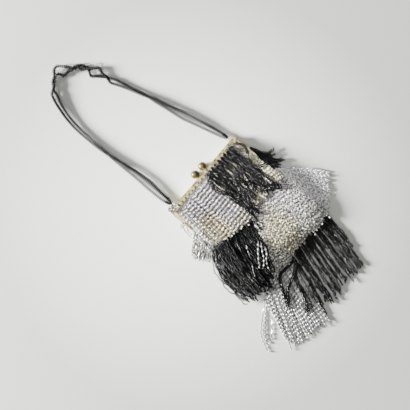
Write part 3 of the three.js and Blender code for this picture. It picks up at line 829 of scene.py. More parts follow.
def clear_shade(colours, patches=(), dulled=0.3, bright=1.0):
    """Silver-lined and clear glass. Patches are spots of another bead colour: across, down and reach in
    shares, then the colour and how much of it. Dulled is the share of beads whose lining has tarnished,
    and bright scales them all. Bright differs from block to block as painted light and shade: it is
    raised for beads that lie in the lamps' shade, and lowered for the left flare as painted shade."""
    silver = np.array(colours.clear_bead) * bright
    grey = np.array(colours.clear_bugle) * bright
    spots = [
        (plan((a, d)), reach_a * HALF_WIDTH, reach_d * DROP, np.array(tone), much)
        for a, d, reach_a, reach_d, tone, much in patches
    ]

    def shade(kind, place, rng):
        base = silver if kind == "round" else grey
        for middle, reach_x, reach_y, tone, much in spots:
            far = math.hypot((place[0] - middle[0]) / reach_x, (place[1] - middle[1]) / reach_y)
            share = much * float(smooth(1.5 - far)) * rng.uniform(0.5, 1)
            base = base * (1 - share + share * tone / max(tone))
        dull = rng.uniform(0.25, 0.9) if rng.uniform() < dulled else 1.0
        return np.clip(base * dull * rng.uniform(0.85, 1.2), 0, 1)

    return shade


def dimmed(colour, much):
    """The same bead colours, darker."""

    def shade(kind, place, rng):
        return colour(kind, place, rng) * much

    return shade


# Where the fringe lies. Every row is points, across as a share of the pouch's half width and down as
# a share of its drop. The rows of a block are its guides: root, leaning point and tip. The rows of
# loops, hooks, ropes and loose strands are points that a strand goes through.
UPPER_CLEAR = (
    (-0.9, 0.03, -0.94, 0.25, -0.97, 0.45),
    (-0.73, 0.03, -0.74, 0.25, -0.77, 0.49),
    (-0.59, 0.03, -0.59, 0.25, -0.61, 0.52),
    (-0.45, 0.03, -0.45, 0.25, -0.46, 0.54),
    (-0.31, 0.03, -0.31, 0.25, -0.3, 0.55),
    (-0.18, 0.03, -0.18, 0.25, -0.15, 0.56),
    (-0.05, 0.03, -0.06, 0.25, 0, 0.56),
)
UPPER_BLACK = (
    (0.06, 0.02, 0.03, 0.22, 0.03, 0.54),
    (0.12, 0.02, 0.1, 0.25, 0.12, 0.58),
    (0.21, 0.02, 0.2, 0.25, 0.21, 0.48),
    (0.3, 0.02, 0.29, 0.25, 0.3, 0.44),
    (0.39, 0.02, 0.38, 0.25, 0.37, 0.42),
    (0.48, 0.02, 0.47, 0.25, 0.46, 0.44),
    (0.57, 0.02, 0.57, 0.25, 0.58, 0.52),
    (0.65, 0.02, 0.66, 0.25, 0.67, 0.54),
    (0.74, 0.02, 0.74, 0.22, 0.75, 0.56),
)
# Where across the pouch a short loop stands on the band of the upper black block
BLACK_TEETH = (0.05, 0.12, 0.21, 0.3, 0.39, 0.48, 0.57, 0.64, 0.73, 0.8)
BLACK_LOOPS = (
    (0.83, 0.026, 0.9, 0.05, 0.96, 0.1, 0.92, 0.15, 0.83, 0.19, 0.79, 0.26),
    (0.05, 0.026, -0.03, 0.06, -0.09, 0.14, -0.08, 0.2, -0.03, 0.28, -0.01, 0.38),
    (0.07, 0.026, 0, 0.07, -0.04, 0.14, -0.04, 0.2, -0.01, 0.27, 0.01, 0.38),
    (0.72, 0.25, 0.83, 0.31, 0.94, 0.34, 1.02, 0.35),
)
CLEAR_AMONG_BLACK = (
    (0.01, 0.07, 0, 0.15, 0.02, 0.23),
    (0.15, 0.03, 0.15, 0.07, 0.15, 0.12),
    (0.36, 0.12, 0.37, 0.16, 0.37, 0.2),
    (0.54, 0.1, 0.54, 0.14, 0.55, 0.18),
    (0.23, 0.27, 0.23, 0.3, 0.22, 0.33),
    (0.35, 0.29, 0.34, 0.32, 0.34, 0.36),
    (0.49, 0.26, 0.48, 0.29, 0.47, 0.33),
    (0.41, 0.34, 0.42, 0.37, 0.38, 0.4),
    (0.38, 0.41, 0.39, 0.43, 0.38, 0.45),
    (0.72, 0.39, 0.73, 0.44, 0.72, 0.49),
)
BEHIND_BLACK = (
    (0.16, 0.4, 0.17, 0.46, 0.17, 0.52),
    (0.56, 0.38, 0.55, 0.45, 0.54, 0.52),
)
RIGHT_STRIP = (
    (0.81, 0.06, 0.83, 0.3, 0.85, 0.52),
    (0.94, 0.06, 0.95, 0.3, 0.99, 0.52),
)
MIDDLE_BLACK = (
    (-0.98, 0.49, -1.48, 0.62, -1.36, 0.98),
    (-0.85, 0.49, -1.28, 0.65, -1.24, 1.02),
    (-0.73, 0.49, -1.1, 0.67, -1.1, 1.02),
    (-0.61, 0.5, -0.92, 0.67, -0.96, 1.04),
    (-0.49, 0.5, -0.75, 0.67, -0.83, 1.06),
    (-0.37, 0.5, -0.59, 0.67, -0.69, 1.02),
    (-0.25, 0.5, -0.39, 0.68, -0.57, 0.96),
    (-0.13, 0.51, -0.19, 0.67, -0.37, 0.8),
    (-0.03, 0.51, -0.05, 0.61, -0.11, 0.68),
)
BLACK_SHOULDER = (
    (-0.98, 0.44, -1.14, 0.55, -1.28, 0.75),
    (-0.88, 0.46, -1.02, 0.58, -1.14, 0.78),
    (-0.77, 0.49, -0.9, 0.6, -1.0, 0.78),
    (-0.67, 0.51, -0.77, 0.61, -0.85, 0.77),
)
MIDDLE_CLEAR = (
    (-0.01, 0.5, -0.21, 0.77, -0.69, 1.02),
    (0.15, 0.5, 0.01, 0.77, -0.37, 1.03),
    (0.31, 0.5, 0.23, 0.77, -0.09, 1.02),
    (0.47, 0.5, 0.43, 0.77, 0.17, 1.02),
    (0.63, 0.5, 0.61, 0.77, 0.41, 1.02),
    (0.77, 0.5, 0.79, 0.77, 0.63, 1.03),
    (0.9, 0.5, 0.96, 0.77, 0.85, 1.04),
    (1.0, 0.48, 1.08, 0.75, 1.06, 1.02),
)
LOOSE_MIDDLE = (
    (-0.23, 0.7, -0.35, 0.73, -0.53, 0.8, -0.73, 0.88),
    (-0.27, 0.73, -0.37, 0.78, -0.5, 0.85, -0.67, 0.9),
    (-0.29, 0.77, -0.37, 0.83, -0.54, 0.89, -0.62, 0.97),
)
CLEAR_AMONG_MIDDLE_BLACK = (
    (-0.59, 0.57, -0.64, 0.61, -0.69, 0.66),
    (-0.49, 0.65, -0.58, 0.7, -0.66, 0.76),
    (-0.84, 0.68, -0.9, 0.73, -0.94, 0.78),
    (-0.73, 0.8, -0.82, 0.85, -0.89, 0.9),
    (-1.1, 0.52, -1.18, 0.57, -1.23, 0.63),
)
CLEAR_TIPS = tuple(
    (x + 0.02, 0.94, x + 0.01, 1.0, x, 1.04 + 0.035 * math.sin(40 * x))
    for x in np.arange(0.42, 1.02, 0.055)
)
DARK_ROWS = tuple(
    (-0.31, down - 0.01, 0.05, down, 0.45, down + 0.004) for down in (0.89, 0.92, 0.95, 0.98)
)
LOOSE_MIDDLE_BLACK = (
    (-0.2, 0.72, -0.34, 0.79, -0.5, 0.88, -0.62, 0.99),
    (-0.24, 0.77, -0.38, 0.86, -0.5, 0.95, -0.56, 1.0),
)
LOWER_CLEAR = (
    (-0.94, 1.01, -1.22, 1.13, -1.26, 1.28),
    (-0.85, 1.01, -1.18, 1.25, -1.5, 1.5),
    (-0.65, 1.01, -0.94, 1.28, -1.28, 1.55),
    (-0.47, 1.01, -0.77, 1.28, -1.06, 1.59),
    (-0.29, 1.01, -0.59, 1.28, -0.83, 1.6),
    (-0.11, 1.01, -0.37, 1.26, -0.59, 1.63),
)
LOOSE_LOWER = (
    (-0.9, 1.01, -1.22, 1.12, -1.48, 1.19, -1.76, 1.29, -1.87, 1.42),
    (-0.9, 1.02, -1.2, 1.14, -1.46, 1.22, -1.68, 1.31, -1.74, 1.37),
    (-0.85, 1.04, -1.14, 1.19, -1.32, 1.25, -1.54, 1.32, -1.66, 1.37),
)
LOWER_BLACK_OVER = (
    (-0.1, 1.06, -0.29, 1.06, -0.52, 1.05, -0.65, 1.1, -0.81, 1.2, -0.95, 1.3),
    (-0.13, 1.08, -0.29, 1.13, -0.52, 1.16, -0.71, 1.2, -0.87, 1.27),
)
LOWER_BLACK_ROPES = (
    (-0.15, 1.09, -0.36, 1.16, -0.46, 1.23, -0.52, 1.3, -0.65, 1.37, -0.75, 1.45),
    (-0.42, 1.25, -0.47, 1.31, -0.55, 1.39, -0.6, 1.45),
)
LOWER_BLACK_HOOKS = (
    (-0.1, 1.24, -0.33, 1.3, -0.42, 1.32, -0.47, 1.38, -0.52, 1.41),
    (-0.16, 1.35, -0.36, 1.36, -0.49, 1.41, -0.54, 1.44),
)
LOWER_BLACK = (
    (-0.12, 1.01, -0.18, 1.24, -0.47, 1.51),
    (0.07, 1.01, -0.1, 1.24, -0.31, 1.52),
    (0.23, 1.01, 0.05, 1.25, -0.13, 1.54),
    (0.39, 1.01, 0.2, 1.25, 0.03, 1.55),
    (0.53, 1.01, 0.36, 1.26, 0.23, 1.52),
    (0.65, 1.01, 0.5, 1.26, 0.37, 1.54),
    (0.77, 1.01, 0.65, 1.27, 0.5, 1.52),
    (0.88, 1.01, 0.82, 1.28, 0.66, 1.55),
    (0.98, 1.01, 0.94, 1.2, 0.83, 1.37),
)
LEFT_SEAM = (
    (-0.94, 0.25, -1.14, 0.29, -1.3, 0.345),
    (-0.94, 0.28, -1.18, 0.32, -1.39, 0.375),
    (-0.94, 0.3, -1.18, 0.36, -1.38, 0.43),
    (-0.92, 0.36, -1.14, 0.43, -1.3, 0.48),
    (-0.88, 0.39, -1.02, 0.47, -1.16, 0.51),
)
LEFT_LOOSE = (
    (-0.92, 0.13, -1.02, 0.14, -1.1, 0.19, -1.11, 0.27, -1.04, 0.31),
    (-0.94, 0.16, -1.04, 0.19, -1.08, 0.24, -1.06, 0.31),
    (-0.94, 0.12, -1.02, 0.13, -1.1, 0.14),
    (-0.94, 0.14, -1.02, 0.16, -1.12, 0.15),
)
RIGHT_SEAM_CLEAR = (
    (0.92, 0.41, 1.24, 0.49, 1.66, 0.78),
    (0.96, 0.45, 1.24, 0.59, 1.6, 0.84),
    (0.98, 0.51, 1.18, 0.67, 1.44, 0.9),
    (0.98, 0.58, 1.12, 0.73, 1.26, 0.96),
    (0.96, 0.66, 1.04, 0.79, 1.1, 1.0),
)
RIGHT_SEAM_BLACK = (
    (1.02, 0.15, 1.04, 0.3, 1.21, 0.31),
    (1.02, 0.15, 1.06, 0.32, 1.2, 0.35),
    (1.02, 0.15, 1.06, 0.37, 1.25, 0.43),
    (1.02, 0.15, 1.03, 0.36, 1.12, 0.44),
    (1.01, 0.15, 0.97, 0.34, 1.04, 0.46),
)

# The handle's middle line, from the left ear over the top to the right ear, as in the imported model:
# across and up from the middle of the frame's bar in millimetres, how far the strings stand apart,
# and how far the bundle has turned, in quarter turns
HANDLE_ROUTE = (
    (-76, 8, 1, 0.2),
    (-77, 31, 1.7, 0.25),
    (-76, 62, 2.4, 0.3),
    (-77, 92, 1.9, 0.45),
    (-80, 123, 1, 0.8),
    (-82, 160, 1, 1.1),
    (-82, 193, 1.1, 1.4),
    (-81, 226, 1.2, 1.6),
    (-75, 258, 1.2, 2),
    (-64, 287, 1.6, 2.5),
    (-48, 305, 2.6, 3),
    (-29, 310, 2.2, 3.6),
    (-12, 299, 1.4, 4.2),
    (2, 287, 1.3, 4.8),
    (11, 271, 2.6, 5.2),
    (16, 250, 1.3, 5.8),
    (22, 226, 1.5, 6.2),
    (31, 197, 1, 6.6),
    (41, 160, 1, 7),
    (48, 129, 1.2, 7.4),
    (56, 94, 2.4, 7.8),
    (64, 62, 2.1, 8),
    (71, 29, 1.2, 8.2),
    (76, 8, 1, 8.2),
)
# Points to each row, how far above the frame's top the ends are tied, and the length over which the
# strings come down from the ears
HANDLE_STEPS = 12
TIED_ABOVE = 5.5
COMES_DOWN = 14
# How far a string stands from the middle line, the radius of the black beads, the height of the
# clear strings and how much it changes, and, as shares of the first, how far the clear strings weave
# and how far they lie to the right
HANDLE_SPREAD = 2.5
BLACK_RADIUS = 3.3
CLEAR_HEIGHT = 4.6
CLEAR_WAVE = 0.6
CLEAR_WEAVE = 0.7
CLEAR_ASIDE = 1.9
# The smaller this is, the shorter are the stretches in which the black strings cross
CROSS_SHORT = 0.1
# The rows between which the strings are kinked, how many rows the kinks take to start or to end,
# and how far they reach
KINK_ROWS = (8.5, 15)
KINK_BEGINS = 1.5
KINK_REACH = 4.4

# The bead knot on the left ear: its middle, how far its loops reach, how many there are, where a
# loop starts and ends and at what height, and the least height of its sides and how much that
# changes over five loops
KNOT_MIDDLE = (-80, 104)
KNOT_REACH = (11, 7.5)
KNOT_LOOPS = 15
KNOT_START = (-77, 105)
KNOT_END = (-77.5, 104)
KNOT_ROOT_HEIGHT = 11
KNOT_HEIGHT = 10
KNOT_RISE = 7
# The strand that hangs beside the frame's left arm: x, y and height in millimetres
ARM_STRAND = (-78, 107, 10, -84, 104, 9, -87, 98, 8, -87.4, 76, 7, -87, 56, 7, -86.6, 41, 6)


# Properties


def colour_property(name, description, hex_colour):
    """A colour that a user may change, given in sRGB hex."""
    return bpy.props.FloatVectorProperty(
        name=name,
        description=description,
        subtype="COLOR",
        size=3,
        min=0,
        max=1,
        default=linear(hex_colour),
    )


class BagColours(bpy.types.PropertyGroup):
    """The colours of the bag and of its stage."""

    gilt: colour_property("Gilt", "Gilding where it is whole", "dcd19c")
    gilt_worn: colour_property("Worn gilt", "Gilding where it has worn to brass", "5e5230")
    knob: colour_property("Knob", "Enamel of the balls", "6e5a30")
    knob_dark: colour_property("Dark knob", "Enamel in its darker spots", "352b16")
    cloth: colour_property("Cloth", "Crepe of the pouch", "c6c3b8")
    cloth_aged: colour_property("Aged cloth", "Crepe where it has yellowed", "b4ad98")
    thread: colour_property("Thread", "Sewing thread", "c9a94a")
    black_bead: colour_property("Black bead", "Black glass", "050506")
    clear_bead: colour_property("Clear bead", "Round silver-lined beads", "dad8cf")
    clear_bugle: colour_property("Clear bugle", "Long silver-lined beads", "69696a")
    cream_bead: colour_property("Cream bead", "Beads that have yellowed", "f0e0b2")
    lilac_bead: colour_property("Lilac bead", "Beads with a lilac tint", "ecdff4")
    # The two floor colours paint a light fall-off onto the paper: pale under the camera, painted shade
    # towards the edges
    floor: colour_property("Floor", "Paper near the light", "f2f3ec")
    floor_painted_shade: colour_property("Floor edge", "Paper away from the light", "abaca8")


class BagSizes(bpy.types.PropertyGroup):
    """The sizes that a user would change."""

    strand_sway: bpy.props.FloatProperty(
        name="Strand sway",
        description="How far a fringe strand sways to each side",
        default=0.0007,
        unit="LENGTH",
    )
    tip_raggedness: bpy.props.FloatProperty(
        name="Ragged tips",
        description="How unevenly the fringe strands end",
        default=0.0022,
        unit="LENGTH",
    )
    camera_height: bpy.props.FloatProperty(
        name="Camera height",
        description="From the floor straight up to the camera",
        default=1.70,
        unit="LENGTH",
    )


def material_named(name, make, *args, **values):
    """The material of this name, made once."""
    return bpy.data.materials.get(name) or make(*args, **values)


def black_glass():
    """Opaque black pressed glass: a hard gloss on a near-black body."""
    name = "black_pressed_glass"
    return material_named(name, bead_glass, name, roughness=0.12, specular=0.35)


def satin_black_glass():
    """Black glass with the soft sheen of beads that hands have dulled."""
    name = "black_satin_glass"
    return material_named(name, bead_glass, name, roughness=0.3, specular=0.09)


def worn_black_glass():
    """Black glass whose polish has gone from most of the faces."""
    name = "black_worn_glass"
    return material_named(name, bead_glass, name, roughness=0.22, specular=0.2)


def clear_glass():
    """Silver-lined glass: the foil inside makes a clear bead shine back like soft metal."""
    name = "silver_lined_glass"
    return material_named(name, bead_glass, name, roughness=0.2, metallic=0.45, coat=0.9)


class SetStage(bpy.types.Operator):
    """Makes the floor, the lights and the camera"""

    bl_idname = "evening_bag.stage"
    bl_label = "Stage"

    def execute(self, context):
        colours = context.scene.bag_colours
        sizes = context.scene.bag_sizes
        bm = bmesh.new()
        bmesh.ops.create_grid(bm, x_segments=1, y_segments=1, size=FLOOR_HALF / MM)
        bmesh.ops.translate(bm, vec=Vector((0, 0, -FLOOR_DROP / MM)), verts=bm.verts)
        floor = made_from("paper_floor", bm, matt_paper(colours), shaded=False)
        world = bpy.data.worlds.new("pale_studio")
        world.use_nodes = True
        sky = world.node_tree.nodes["Background"]
        sky.inputs["Color"].default_value = (*linear("f7f7f4"), 1)
        sky.inputs["Strength"].default_value = WORLD_STRENGTH
        context.scene.world = world
        for name, place, size, power in LAMPS:
            data = bpy.data.lights.new(name, "AREA")
            data.size = size
            data.energy = power
            lamp = bpy.data.objects.new(name, data)
            lamp.location = place
            lamp.rotation_euler = (-Vector(place)).to_track_quat("-Z", "Y").to_euler()
            context.scene.collection.objects.link(lamp)
        data = bpy.data.cameras.new("photo_camera")
        data.lens = 85
        data.sensor_width = 36
        data.clip_end = 20
        camera = bpy.data.objects.new("photo_camera", data)
        camera.location = (*CAMERA_PLACE, sizes.camera_height)
        camera.rotation_euler = (0, 0, -math.atan2(*CAMERA_UP))
        context.scene.collection.objects.link(camera)
        context.scene.camera = camera
        return {"FINISHED"}


class DressFrame(bpy.types.Operator):
    """Gilds the frame and its rivets, and sews the pouch to the frame's flange"""

    bl_idname = "evening_bag.frame"
    bl_label = "Frame"

    def execute(self, context):
        colours = context.scene.bag_colours
        gilt = material_named("gilt_brass_stamped", gilt_brass, colours)
        for name in ("frame_front", "frame_back", "hinge_rivet_left", "hinge_rivet_right"):
            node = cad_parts[name]
            node.data.materials.clear()
            node.data.materials.append(gilt)
        bm = bmesh.new()
        for face in (1, -1):
            z = FRAME_MIDDLE + face * (FLANGE_FACE - FRAME_MIDDLE)
            for i in range(-HOLES_EACH_SIDE, HOLES_EACH_SIDE):
                low, high = i * HOLE_PITCH, (i + 1) * HOLE_PITCH
                over = z + face * STITCH_PROUD
                sunk = z - face * STITCH_SUNK
                points = (
                    (low + STITCH_START, HOLE_LINE, sunk),
                    (low + STITCH_OUT, HOLE_LINE, over),
                    (high - STITCH_OUT, HOLE_LINE, over),
                    (high - STITCH_START, HOLE_LINE, sunk),
                )
                tube(bm, smooth_route(points, 3), STITCH_RADIUS, sides=6)
        thread = material_named("waxed_cotton_thread", waxed_thread, colours)
        stitches = made_from("frame_stitches", bm, thread)
        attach(stitches, "root")
        # Dark knots in the sewing holes: their colour paints the holes' shade
        knots = bmesh.new()
        for face in (1, -1):
            for i in range(-HOLES_EACH_SIDE, HOLES_EACH_SIDE + 1):
                z = FRAME_MIDDLE + face * (FLANGE_FACE - FRAME_MIDDLE + HOLE_KNOT_PROUD)
                place = Matrix.Translation((i * HOLE_PITCH, HOLE_LINE, z))
                flat = Matrix.Diagonal((1, 1, HOLE_KNOT_FLAT, 1))
                bmesh.ops.create_uvsphere(
                    knots,
                    u_segments=10,
                    v_segments=6,
                    radius=HOLE_KNOT_RADIUS,
                    matrix=place @ flat,
                )
        tied = made_from("hole_knots", knots, material_named("dark_silk_thread", hole_shade_silk))
        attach(tied, "root")
        rings = bmesh.new()
        for face in (1, -1):
            z = FRAME_MIDDLE + face * (FLANGE_FACE - FRAME_MIDDLE + WIRE_ABOVE)
            for y in WIRE_LINES:
                route = [(x, y, z) for x in np.linspace(-WIRE_HALF_LENGTH, WIRE_HALF_LENGTH, 9)]
                tube(rings, route, WIRE_RADIUS)
        for side in (-1, 1):
            turn = np.linspace(0, 2 * np.pi, 28, endpoint=False)
            x = side * EAR_OFFSET + RING_LEAN * np.sin(turn)
            y = FRAME_TOP + RING_RISE + RING_RADIUS * np.cos(turn)
            z = FRAME_MIDDLE - side * EAR_FROM_MIDDLE + RING_RADIUS * np.sin(turn)
            tube(rings, np.column_stack([x, y, z]), RING_WIRE, closed=True)
        wires = made_from("gilt_wires_and_rings", rings, gilt)
        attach(wires, "root")
        return {"FINISHED"}


class DressKnobs(bpy.types.Operator):
    """Turns the two kiss-lock balls with their collars"""

    bl_idname = "evening_bag.knobs"
    bl_label = "Knobs"

    def execute(self, context):
        colours = context.scene.bag_colours
        enamel = material_named("bronze_enamel_gloss", bronze_enamel, colours)
        for name, side in (("knob_front", 1), ("knob_back", -1)):
            low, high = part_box(name)
            centre = (low + high) / 2 / MM
            foot_y = FRAME_TOP - KNOB_FOOT_DROP
            foot = Vector((side * KNOB_OFFSET, foot_y, FRAME_MIDDLE + side * KNOB_FOOT_OUT))
            bm = bmesh.new()
            profile = [
                (KNOB_RADIUS * math.sin(a), KNOB_RADIUS * math.cos(a))
                for a in (math.pi * i / KNOB_RINGS for i in range(KNOB_RINGS - 2))
            ]
            profile += [(radius, -KNOB_RADIUS - below) for radius, below in COLLAR]
            verts = [bm.verts.new((r, 0, h)) for r, h in profile]
            edges = [bm.edges.new(pair) for pair in zip(verts, verts[1:])]
            bmesh.ops.spin(
                bm,
                geom=verts + edges,
                axis=Vector((0, 0, 1)),
                angle=2 * math.pi,
                steps=32,
                use_merge=True,
            )
            bmesh.ops.remove_doubles(bm, verts=bm.verts, dist=0.01)
            turn = (centre - foot).to_track_quat("Z", "Y").to_matrix().to_4x4()
            bmesh.ops.transform(bm, matrix=Matrix.Translation(centre) @ turn, verts=bm.verts)
            ball = made_from(name + "_ball", bm, enamel)
            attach(ball, "root")
            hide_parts(name)
        return {"FINISHED"}


class DressPouch(bpy.types.Operator):
    """Lofts the crepe pouch and sews its rows of small beads"""

    bl_idname = "evening_bag.pouch"
    bl_label = "Pouch"

    def execute(self, context):
        colours = context.scene.bag_colours
        crepe = material_named("silk_crepe_cream", crepe_cloth, colours)
        bm = bmesh.new()
        loops = []
        for y in POUCH_ROWS:
            half, back, front = (float(v) for v in section_at(y))
            ring = pouch_ring(half, back, front)
            verts = [bm.verts.new((x, y, z)) for x, z in pleated(ring, y)]
            loops.append([bm.edges.new((a, b)) for a, b in zip(verts, verts[1:] + verts[:1])])
        for a, b in zip(loops, loops[1:]):
            bmesh.ops.bridge_loops(bm, edges=a + b)
        bmesh.ops.holes_fill(bm, edges=loops[-1], sides=0)
        pouch = made_from("crepe_pouch", bm, crepe)
        wall = pouch.modifiers.new("lining", "SOLIDIFY")
        wall.thickness = LINING * MM
        wall.offset = -1
        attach(pouch, "root")
        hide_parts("pouch")
        sewn = Beadwork(71)
        # The sewn beads are cream from yellowing, and made brighter as painted light for rows that lie
        # in the fringe's shade
        pearl = clear_shade(colours, ((0, 0.5, 9, 9, colours.cream_bead, 0.5),), 0.3, 1.5)
        for y in SEWN_ROWS:
            half, back, front = (float(v) for v in section_at(y))
            reach = half - SEWN_INSET
            x = np.linspace(-reach, reach, 60)
            line = np.column_stack([x, y + 0.5 * np.sin(x / 9), pouch_top(x, y) + SEWN_ON_FRONT])
            sewn.thread(line, SPACED_PATTERN, pearl, sewn.rng.uniform(0, 4))
            reach = half - BACK_EDGE - 1
            x = np.linspace(-reach, reach, 30)
            under = np.column_stack([x, np.full(30, y), np.full(30, back + SEWN_ON_BACK)])
            sewn.thread(under, SPACED_PATTERN, pearl, sewn.rng.uniform(0, 4))
        rows = sewn.build("sewn_bead_rows", clear_glass())
        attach(rows, "root")
        return {"FINISHED"}


def pouch_ring(half, back, front, steps=48):
    """One section of the pouch: crowned over the front, rounded at the edges, flat underneath."""
    middle = (back + front) / 2
    angles = np.linspace(0, np.pi, steps + 1)
    crown = np.column_stack([
        half * np.sign(np.cos(angles)) * np.abs(np.cos(angles)) ** (2 / POUCH_CURVE),
        middle + (front - middle) * np.abs(np.sin(angles)) ** (2 / POUCH_CURVE),
    ])
    edge = min(BACK_EDGE, half)
    turn = np.linspace(0, np.pi / 2, 7)[1:]
    left = np.column_stack([
        -half + edge * (1 - np.cos(turn)),
        middle - (middle - back) * np.sin(turn),
    ])
    flat = np.column_stack([np.linspace(-half + edge, half - edge, 26)[1:-1], np.full(24, back)])
    right = left[::-1] * (-1, 1)
    return np.vstack([crown, left, flat, right])


def pleated(ring, y):
    """The ring with the small gathers of the cloth below the frame, all of them inwards."""
    gather = 0.9 * smooth((y - 30) / 60) * (1 - smooth((y - 94) / 6))
    slack = 0.35 * np.sin(y / 17) ** 2
    folds = 0.5 + 0.5 * np.sin(ring[:, 0] / 3.1)
    wide = 0.5 + 0.5 * np.sin(ring[:, 0] / 11 + y / 23)
    middle = ring[:, 1].mean()
    inwards = np.where(ring[:, 1] > middle, 1, 0) * (gather * folds + slack * wide)
    return np.column_stack([ring[:, 0], ring[:, 1] - inwards])


def block(name, node, seed, material, layers):
    """Builds one fringe block. A layer is its routes, bead pattern, colours, underside, height
    above it, and where in the pattern the strands start, or None where each starts anywhere.
    Strands that do line up do so in pairs beside a dimmer one, so that their rows break into
    short dashes."""
    work = Beadwork(seed)
    for routes, pattern, colour, under, height, first in layers:
        pair = 0.0
        for i, route in enumerate(routes):
            lift = height + work.rng.uniform(-LIFT_SPREAD, LIFT_SPREAD)
            if i % 2 == 0:
                pair = work.rng.uniform(0, PAIR_STEP)
            shade = colour
            if first is None:
                start = work.rng.uniform(0, sum(row[1] for row in pattern[1:]))
            else:
                start = first + pair + work.rng.uniform(-STRAND_STEP, STRAND_STEP)
                shade = dimmed(colour, DIMMED) if i % 3 == 2 else colour
            work.thread(raised(route, under, lift), pattern, shade, start)
    piece = work.build(name, material)
    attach(piece, "root")
    if node:
        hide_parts(node)


def fringe_settings(context, seed):
    """The colours, the sway and raggedness in millimetres, and a seeded source of small chances."""
    sizes = context.scene.bag_sizes
    rng = np.random.default_rng(seed)
    return context.scene.bag_colours, sizes.strand_sway / MM, sizes.tip_raggedness / MM, rng


class DressUpperTier(bpy.types.Operator):
    """Hangs the upper tier of fringe, under the frame's bar"""

    bl_idname = "evening_bag.upper_tier"
    bl_label = "Upper tier"

    def execute(self, context):
        colours, sway, ragged, rng = fringe_settings(context, 11)
        patches = (
            (-0.68, 0.38, 0.24, 0.16, colours.cream_bead, 1.0),
            (-0.2, 0.5, 0.3, 0.06, colours.cream_bead, 0.5),
            (-0.3, 0.2, 0.35, 0.2, colours.lilac_bead, 0.6),
            (-0.8, 0.1, 0.3, 0.15, colours.lilac_bead, 0.6),
        )
        shade = clear_shade(colours, patches, 0.3, 1.2)
        low = combed(UPPER_CLEAR, 27, rng, sway, ragged)
        top = combed(UPPER_CLEAR, 28, rng, sway * 0.6, ragged)
        left = [shortened(route, 3.2) for route in top[:14]]
        block(
            "upper_clear_strands",
            "upper_clear_fringe",
            21,
            clear_glass(),
            (
                (low, ROW_PATTERN, shade, on_pouch, 1.3, 0.6),
                (left, ROW_PATTERN, shade, on_pouch, 3.6, 0.0),
                (top[14:], ROW_PATTERN, shade, on_pouch, 3.6, 0.0),
            ),
        )
        black = black_shade(colours)
        low = bunched(UPPER_BLACK, 3, 8.6, rng, sway * 2, ragged * 1.8, 0.3, 0.85)
        top = bunched(UPPER_BLACK, 3, 9.6, rng, sway * 3.4, ragged * 1.8, 0.25, 0.9)
        pins = hairpins(UPPER_BLACK, 2, 4, rng, sway * 3.4, ragged * 2)
        teeth = [
            (x - 0.02, 0.12, x - 0.028, 0.04, x, 0.014, x + 0.028, 0.04, x + 0.02, 0.12)
            for x in BLACK_TEETH
        ]
        loops = laid(BLACK_LOOPS, rng, sway * 0.4, (-1.2, 1.2))
        loops += laid(teeth, rng, sway * 0.3)
        among = laid(CLEAR_AMONG_BLACK, rng, sway)
        behind = combed(BEHIND_BLACK, 12, rng, sway, ragged)
        behind += combed(RIGHT_STRIP, 6, rng, sway, ragged)
        yellowed = clear_shade(colours, ((0.5, 0.4, 2, 2, colours.cream_bead, 0.8),), 0.2, 1.6)
        block(
            "upper_black_strands",
            "upper_black_fringe",
            22,
            black_glass(),
            (
                (low, SEED_PATTERN, black, on_pouch, 1.5, None),
                (top, SEED_PATTERN, black, on_pouch, 3.7, None),
                (pins, SEED_PATTERN, black, on_pouch, 5.0, None),
                (loops, SEED_PATTERN, black, on_pouch, 6.4, None),
            ),
        )
        block(
            "clear_strands_among_black",
            None,
            23,
            clear_glass(),
            (
                (among, FINE_CLEAR_PATTERN, yellowed, on_pouch, 5.6, None),
                (behind, CLEAR_PATTERN, yellowed, on_pouch, 2.4, None),
            ),
        )
        return {"FINISHED"}


